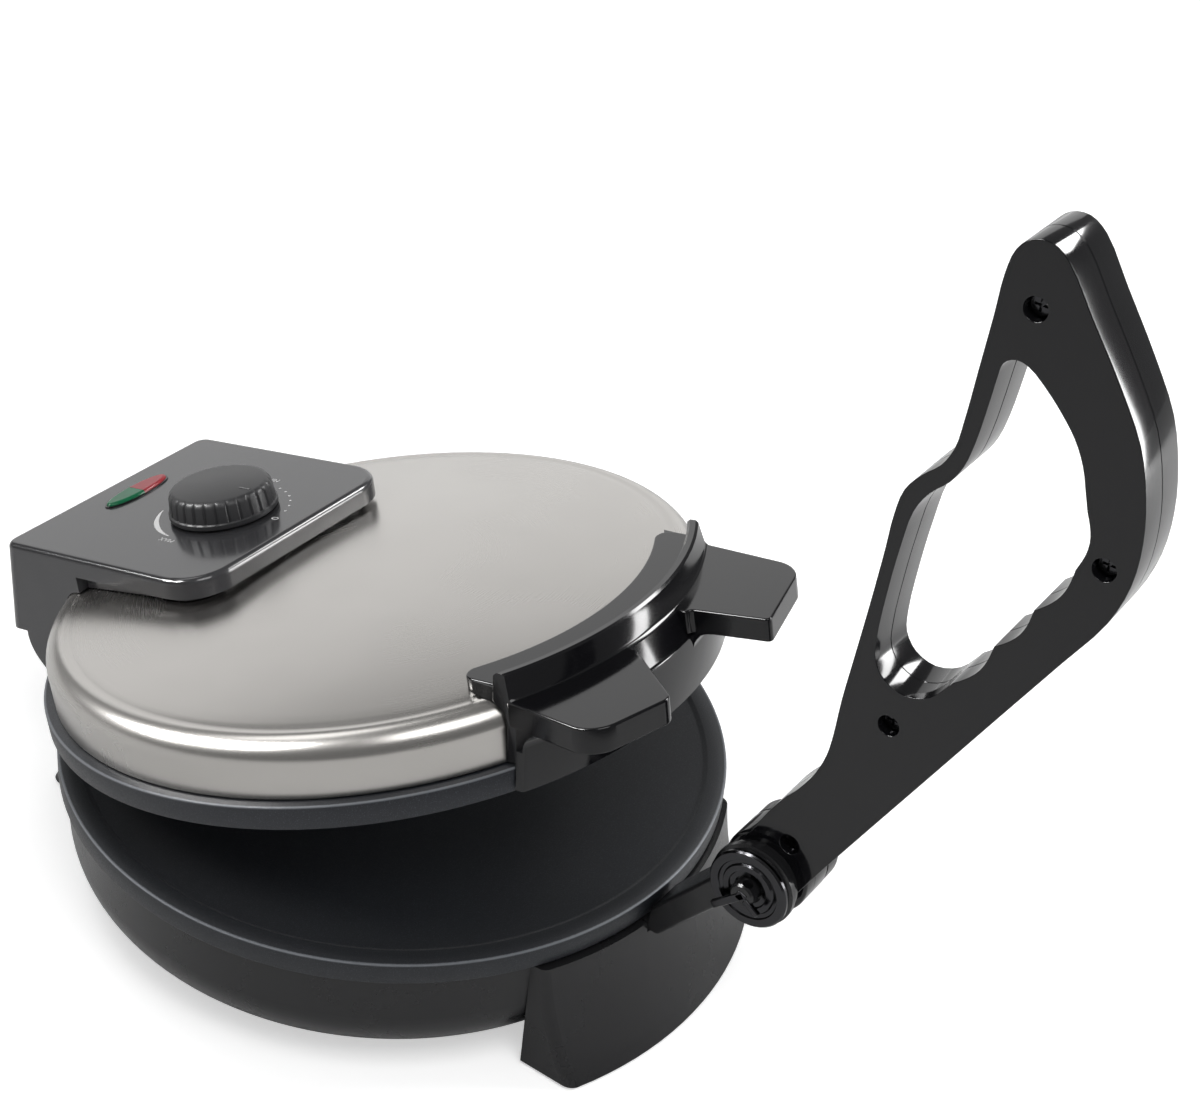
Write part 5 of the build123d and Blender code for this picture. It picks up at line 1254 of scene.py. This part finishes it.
# ------------------------------------------------------------------ plates
@dataclass
class CookingPlate:
    """Cast plate: sunk cooking face, flat rim band with eased edges, element channel and bosses behind.

    shut_gap is the gap from rim to rim with the lid shut; it is given only for the upper plate.
    """

    name: str
    node: str
    rim_radius: float
    rim_height: float
    finish: Finish
    body: Body
    shut_gap: float | None = None
    rim_width: float = 0.0080
    rim_back: float = 0.0082
    recess: float = 0.0012
    casting: float = 0.0050
    channel_from_rim: float = 0.0530
    channel_half: float = 0.0070
    channel_depth: float = 0.0040
    boss_from_rim: float = 0.0290
    boss_radius: float = 0.0060
    boss_foot: float = -0.0130
    steps: int = 160

    @property
    def back(self) -> float:
        """Height of the plate's back."""
        return -self.recess - self.casting

    def profile(self) -> Outline:
        """Returns:
            The outline of the casting with the rim plane at nought.
        """
        rim, face, back, foot = self.rim_radius, -self.recess, self.back, -self.rim_height
        inner, ring, half = rim - self.rim_width, rim - self.channel_from_rim, self.channel_half
        floor = back - self.channel_depth
        return [
            (0.0, face), (inner - 0.0022, face), (inner - 0.0014, face + 0.0002),
            (inner - 0.0003, -0.0002), (inner + 0.0003, 0.0),
            (rim - 0.0007, 0.0), (rim - 0.0002, -0.0002), (rim, -0.0007),
            (rim, foot + 0.0007), (rim - 0.0002, foot + 0.0002), (rim - 0.0007, foot),
            (rim - self.rim_back, foot), (rim - self.rim_back - 0.0010, back),
            (ring + half + 0.0005, back), (ring + half, floor), (ring - half, floor),
            (ring - half - 0.0005, back), (0.0, back),
        ]

    def build(self) -> None:
        """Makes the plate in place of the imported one."""
        mesh = bmesh.new()
        Shop.turned(mesh, self.profile(), self.steps)
        reach, top = self.rim_radius - self.boss_from_rim, self.back + 0.0005
        radius = self.boss_radius - 0.0002
        for quarter in range(4):
            turn = math.radians(45.0 + 90.0 * quarter)
            middle = (reach * math.cos(turn), reach * math.sin(turn), (top + self.boss_foot) / 2)
            made = bmesh.ops.create_cone(mesh, cap_ends=True, segments=24, radius1=radius,
                                         radius2=radius, depth=top - self.boss_foot)
            bmesh.ops.transform(mesh, matrix=Matrix.Translation(middle), verts=made["verts"])
        matrix = PLACES.base_matrix()
        if self.shut_gap is not None:
            flip = Matrix.Translation((0.0, 0.0, self.shut_gap)) @ Matrix.Rotation(math.pi, 4, "X")
            matrix = PLACES.lid_matrix() @ flip
        Shop.finish(self.name, mesh, matrix, self.finish, self.body, (self.node,))


# ------------------------------------------------------------------ dial face
@dataclass
class DialFace:
    """Marks printed round the knob and the dark rim of the pilot light.

    A word is given by its text, its middle from the knob's middle, its size and its turn in degrees.
    """

    ink: float = 0.00006
    ring_radius: float = 0.0275
    crescent_width: float = 0.0018
    crescent_span_deg: float = 60.0
    crescent_turn_deg: float = 110.0
    dot_radius: float = 0.00055
    dot_count: int = 7
    dot_first_deg: float = -70.0
    dot_step_deg: float = 11.0
    words: tuple[tuple[str, Pair, float, float], ...] = (
        ("0", (0.0020, -0.0270), 0.0050, 0.0), ("MAX", (-0.0310, 0.0030), 0.0036, 90.0),
        ("MIN", (0.0325, 0.0020), 0.0036, 90.0))
    lens_half: Pair = (0.0170, 0.0052)
    lens_gap: float = 0.0001
    rim_width: float = 0.0008
    rim_height: float = 0.0005

    def crescent(self, mesh: bmesh.types.BMesh) -> None:
        """Adds the tapered arc that shows more heat.

        Args:
            mesh: mesh to add to.
        """
        start = mesh.verts.new((self.ring_radius, 0.0, self.ink))
        end = mesh.verts.new((self.ring_radius + self.crescent_width, 0.0, self.ink))
        edge = mesh.edges.new((start, end))
        span, middle = math.radians(self.crescent_span_deg), self.ring_radius + self.crescent_width / 2
        bmesh.ops.spin(mesh, geom=[start, end, edge], cent=ORIGIN, axis=UPWARD, angle=span, steps=28)
        for vert in mesh.verts:
            turn = math.atan2(vert.co.y, vert.co.x) / span
            away = math.hypot(vert.co.x, vert.co.y) - middle
            taper = math.sin(math.pi * min(max(turn, 0.03), 0.97))
            radius = middle + away * (0.25 + 0.9 * taper)
            vert.co.x, vert.co.y = radius * math.cos(turn * span), radius * math.sin(turn * span)
        bmesh.ops.rotate(mesh, verts=list(mesh.verts), cent=ORIGIN,
                         matrix=Matrix.Rotation(math.radians(self.crescent_turn_deg), 3, "Z"))

    def dots(self, mesh: bmesh.types.BMesh) -> None:
        """Adds the row of dots between the marks.

        Args:
            mesh: mesh to add to.
        """
        for step in range(self.dot_count):
            turn = math.radians(self.dot_first_deg + self.dot_step_deg * step)
            middle = (self.ring_radius * math.cos(turn), self.ring_radius * math.sin(turn), self.ink)
            bmesh.ops.create_circle(mesh, cap_ends=True, segments=14, radius=self.dot_radius,
                                    matrix=Matrix.Translation(middle))

    def word(self, mesh: bmesh.types.BMesh, text: str, spot: Pair, size: float,
             turn_deg: float) -> None:
        """Adds a numeral or a plain dial word.

        Args:
            mesh: mesh to add to.
            text: what is printed.
            spot: its middle from the knob's middle.
            size: letter height scale.
            turn_deg: turn about the vertical.
        """
        curve = bpy.data.curves.new("print_" + text.lower(), "FONT")
        curve.body, curve.size, curve.align_x, curve.align_y = text, size, "CENTER", "CENTER"
        carrier = bpy.data.objects.new(curve.name, curve)
        bpy.context.scene.collection.objects.link(carrier)
        bpy.context.view_layer.update()
        graph = bpy.context.evaluated_depsgraph_get()
        flat = bpy.data.meshes.new_from_object(carrier.evaluated_get(graph))
        turn = Matrix.Rotation(math.radians(turn_deg), 4, "Z")
        flat.transform(Matrix.Translation((*spot, self.ink)) @ turn)
        mesh.from_mesh(flat)
        bpy.data.objects.remove(carrier)
        bpy.data.curves.remove(curve)
        bpy.data.meshes.remove(flat)

    def oval(self, mesh: bmesh.types.BMesh, grow: float) -> None:
        """Adds an oval round the light.

        Args:
            mesh: mesh to add to.
            grow: how far the oval stands off the light.
        """
        made = bmesh.ops.create_circle(mesh, cap_ends=False, segments=72, radius=1.0)
        half_x, half_y = self.lens_half
        bmesh.ops.scale(mesh, verts=made["verts"], vec=(half_x + grow, half_y + grow, 1.0))

    def lens_rim(self) -> None:
        """Dark moulded rim round the oval light."""
        mesh = bmesh.new()
        self.oval(mesh, self.lens_gap + self.rim_width)
        self.oval(mesh, self.lens_gap)
        bmesh.ops.bridge_loops(mesh, edges=list(mesh.edges))
        Shop.thicken(mesh, list(mesh.faces), (0.0, 0.0, self.rim_height), keep=False)
        Shop.finish("lens_rim", mesh, PLACES.box_matrix(PLACES.lens_x, PLACES.lens_y), Finish.LENS_RIM,
                    Body.LID)

    def build(self) -> None:
        """Prints the marks and sets the rim."""
        mesh = bmesh.new()
        self.crescent(mesh)
        self.dots(mesh)
        for text, spot, size, turn_deg in self.words:
            self.word(mesh, text, spot, size, turn_deg)
        Shop.finish("dial_print", mesh, PLACES.box_matrix(0.0, PLACES.knob_y), Finish.INK_WHITE,
                    Body.LID)
        self.lens_rim()


# ------------------------------------------------------------------ studio
@dataclass(frozen=True)
class SoftBox:
    """One rectangular lamp: where it hangs, the point it faces, its sides and its watts."""

    name: str
    place: Triple
    aim: Triple
    size: Pair
    power: float
    sheen_only: bool = False

    def build(self) -> None:
        """Hangs the lamp; a sheen_only lamp is seen in reflections and sheds no light of its own."""
        data = bpy.data.lights.new(self.name, "AREA")
        data.shape = "RECTANGLE"
        data.size, data.size_y = self.size
        data.energy = self.power
        lamp = bpy.data.objects.new(self.name, data)
        lamp.location = self.place
        lamp.visible_diffuse = not self.sheen_only
        toward = Vector(self.aim) - Vector(self.place)
        lamp.rotation_euler = toward.to_track_quat("-Z", "Y").to_euler()
        bpy.context.scene.collection.objects.link(lamp)


SOFT_BOXES = (
    SoftBox("key_soft_box", (-0.6, -0.7, 1.9), (0.0, 0.05, 0.1), (1.0, 1.0), 14.0),
    SoftBox("left_edge_lamp", (-1.05, 0.85, 1.40), (0.0, 0.0, 0.15), (0.50, 0.50), 40.0, True),
    SoftBox("left_rear_lamp", (-0.92, 1.58, 1.25), (0.0, 0.0, 0.12), (0.75, 0.60), 55.0, True),
    SoftBox("right_strip_lamp", (1.12, -1.20, 0.55), (0.0, -0.05, 0.12), (0.20, 1.10), 14.0),
    SoftBox("right_edge_lamp", (1.43, -0.53, 1.40), (0.0, 0.0, 0.12), (0.60, 0.50), 24.0, True),
    SoftBox("horizon_soft_box", (1.75, 1.58, 0.60), (0.0, 0.05, 0.10), (2.8, 1.5), 12.5),
    SoftBox("rear_soft_box", (0.2, 1.5, 2.2), (0.0, 0.05, 0.1), (0.9, 0.9), 6.0),
)


@dataclass
class Studio:
    """Floor, lamps, surround and camera."""

    floor_size: float = 6.0
    floor_grey: float = 0.88
    floor_glow: float = 0.50
    surround_light: float = 0.45
    surround_mirrored: float = 0.22
    surround_seen: float = 1.0
    shot_az: float = -59.016
    shot_el: float = 33.644
    shot_roll: float = 6.735
    shot_at: Triple = (0.0836, 0.0706, 0.902216)
    focal_px: float = 2180.902
    width_px: float = 1200.0
    sensor_mm: float = 36.0

    def floor(self) -> None:
        """Wide plain floor that shows white and keeps the shadow."""
        mesh = bpy.data.meshes.new("floor")
        build = bmesh.new()
        bmesh.ops.create_grid(build, x_segments=1, y_segments=1, size=self.floor_size)
        build.to_mesh(mesh)
        build.free()
        plane = bpy.data.objects.new("floor", mesh)
        bpy.context.scene.collection.objects.link(plane)
        kit = Recipe("floor_pale")
        seen = kit.node("ShaderNodeLightPath", output="Is Camera Ray")
        glow = kit.blend(seen, (0.0, 0.0, 0.0), (self.floor_glow,) * 3)
        kit.principled(Base_Color=(self.floor_grey,) * 3, Roughness=0.7, Emission_Color=glow,
                       Emission_Strength=1.0, Specular_IOR_Level=0.1)
        mesh.materials.append(kit.material)

    def world(self) -> None:
        """Surround that is white to the camera, pale as a light and darker in reflections."""
        world = bpy.data.worlds.new("studio")
        bpy.context.scene.world = world
        world.use_nodes = True
        kit = Nodes(world.node_tree)
        rays = {kind: kit.node("ShaderNodeLightPath", output=f"Is {kind} Ray")
                for kind in ("Camera", "Transmission", "Glossy")}
        unseen = kit.node("ShaderNodeMix", None,
                          {"Factor": rays["Glossy"], "A": self.surround_light,
                           "B": self.surround_mirrored}, output="Result")
        seen = kit.node("ShaderNodeMath", {"operation": "MAXIMUM"},
                        {0: rays["Camera"], 1: rays["Transmission"]})
        strength = kit.node("ShaderNodeMix", None,
                            {"Factor": seen, "A": unseen, "B": self.surround_seen},
                            output="Result")
        ground = kit.tree.nodes["Background"]
        kit.feed(ground.inputs["Color"], (1.0, 1.0, 1.0))
        kit.feed(ground.inputs["Strength"], strength)

    def camera(self) -> None:
        """Sets up the main view."""
        turn, rise, roll = (math.radians(a) for a in (self.shot_az, self.shot_el, self.shot_roll))
        back = Vector((math.sin(turn) * math.cos(rise), -math.cos(turn) * math.cos(rise),
                       math.sin(rise)))
        right = Vector((math.cos(turn), math.sin(turn), 0.0))
        up = back.cross(right)
        across = math.cos(roll) * right + math.sin(roll) * up
        above = -math.sin(roll) * right + math.cos(roll) * up
        centre = Vector((0.0, PLACES.plate_y, PLACES.rim_z))
        spot = centre + across * self.shot_at[0] + above * self.shot_at[1] + back * self.shot_at[2]
        data = bpy.data.cameras.new("camera")
        data.sensor_width = self.sensor_mm
        data.lens = self.focal_px * data.sensor_width / self.width_px
        data.clip_start, data.clip_end = 0.05, 30.0
        camera = bpy.data.objects.new("camera", data)
        basis = Matrix((across, above, back)).transposed().to_4x4()
        camera.matrix_world = Matrix.Translation(spot) @ basis
        bpy.context.scene.collection.objects.link(camera)
        bpy.context.scene.camera = camera

    def build(self) -> None:
        """Sets the whole studio."""
        bpy.context.scene.view_settings.view_transform = "Standard"
        self.floor()
        self.world()
        for box in SOFT_BOXES:
            box.build()
        self.camera()


def main() -> None:
    """Dresses the part and sets the studio."""
    logging.basicConfig(level=logging.INFO, format="%(name)s %(message)s")
    dress_frame()
    LidShell().build()
    LidHandle().build()
    DialKnob().build()
    LeverHalf(side=-1.0, holes=SCREW_HOLES).build()
    LeverHalf(side=1.0).build()
    PivotEnd().build()
    CookingPlate(name="lower_plate_cast", node="lower_plate", rim_radius=0.1370, rim_height=0.0092,
                 finish=Finish.PLATE_LOW, body=Body.BASE).build()
    CookingPlate(name="upper_plate_cast", node="upper_plate", rim_radius=0.1355, rim_height=0.0093,
                 finish=Finish.PLATE_UP, body=Body.LID, shut_gap=0.0006).build()
    DialFace().build()
    Studio().build()


if __name__ == "__main__":
    main()
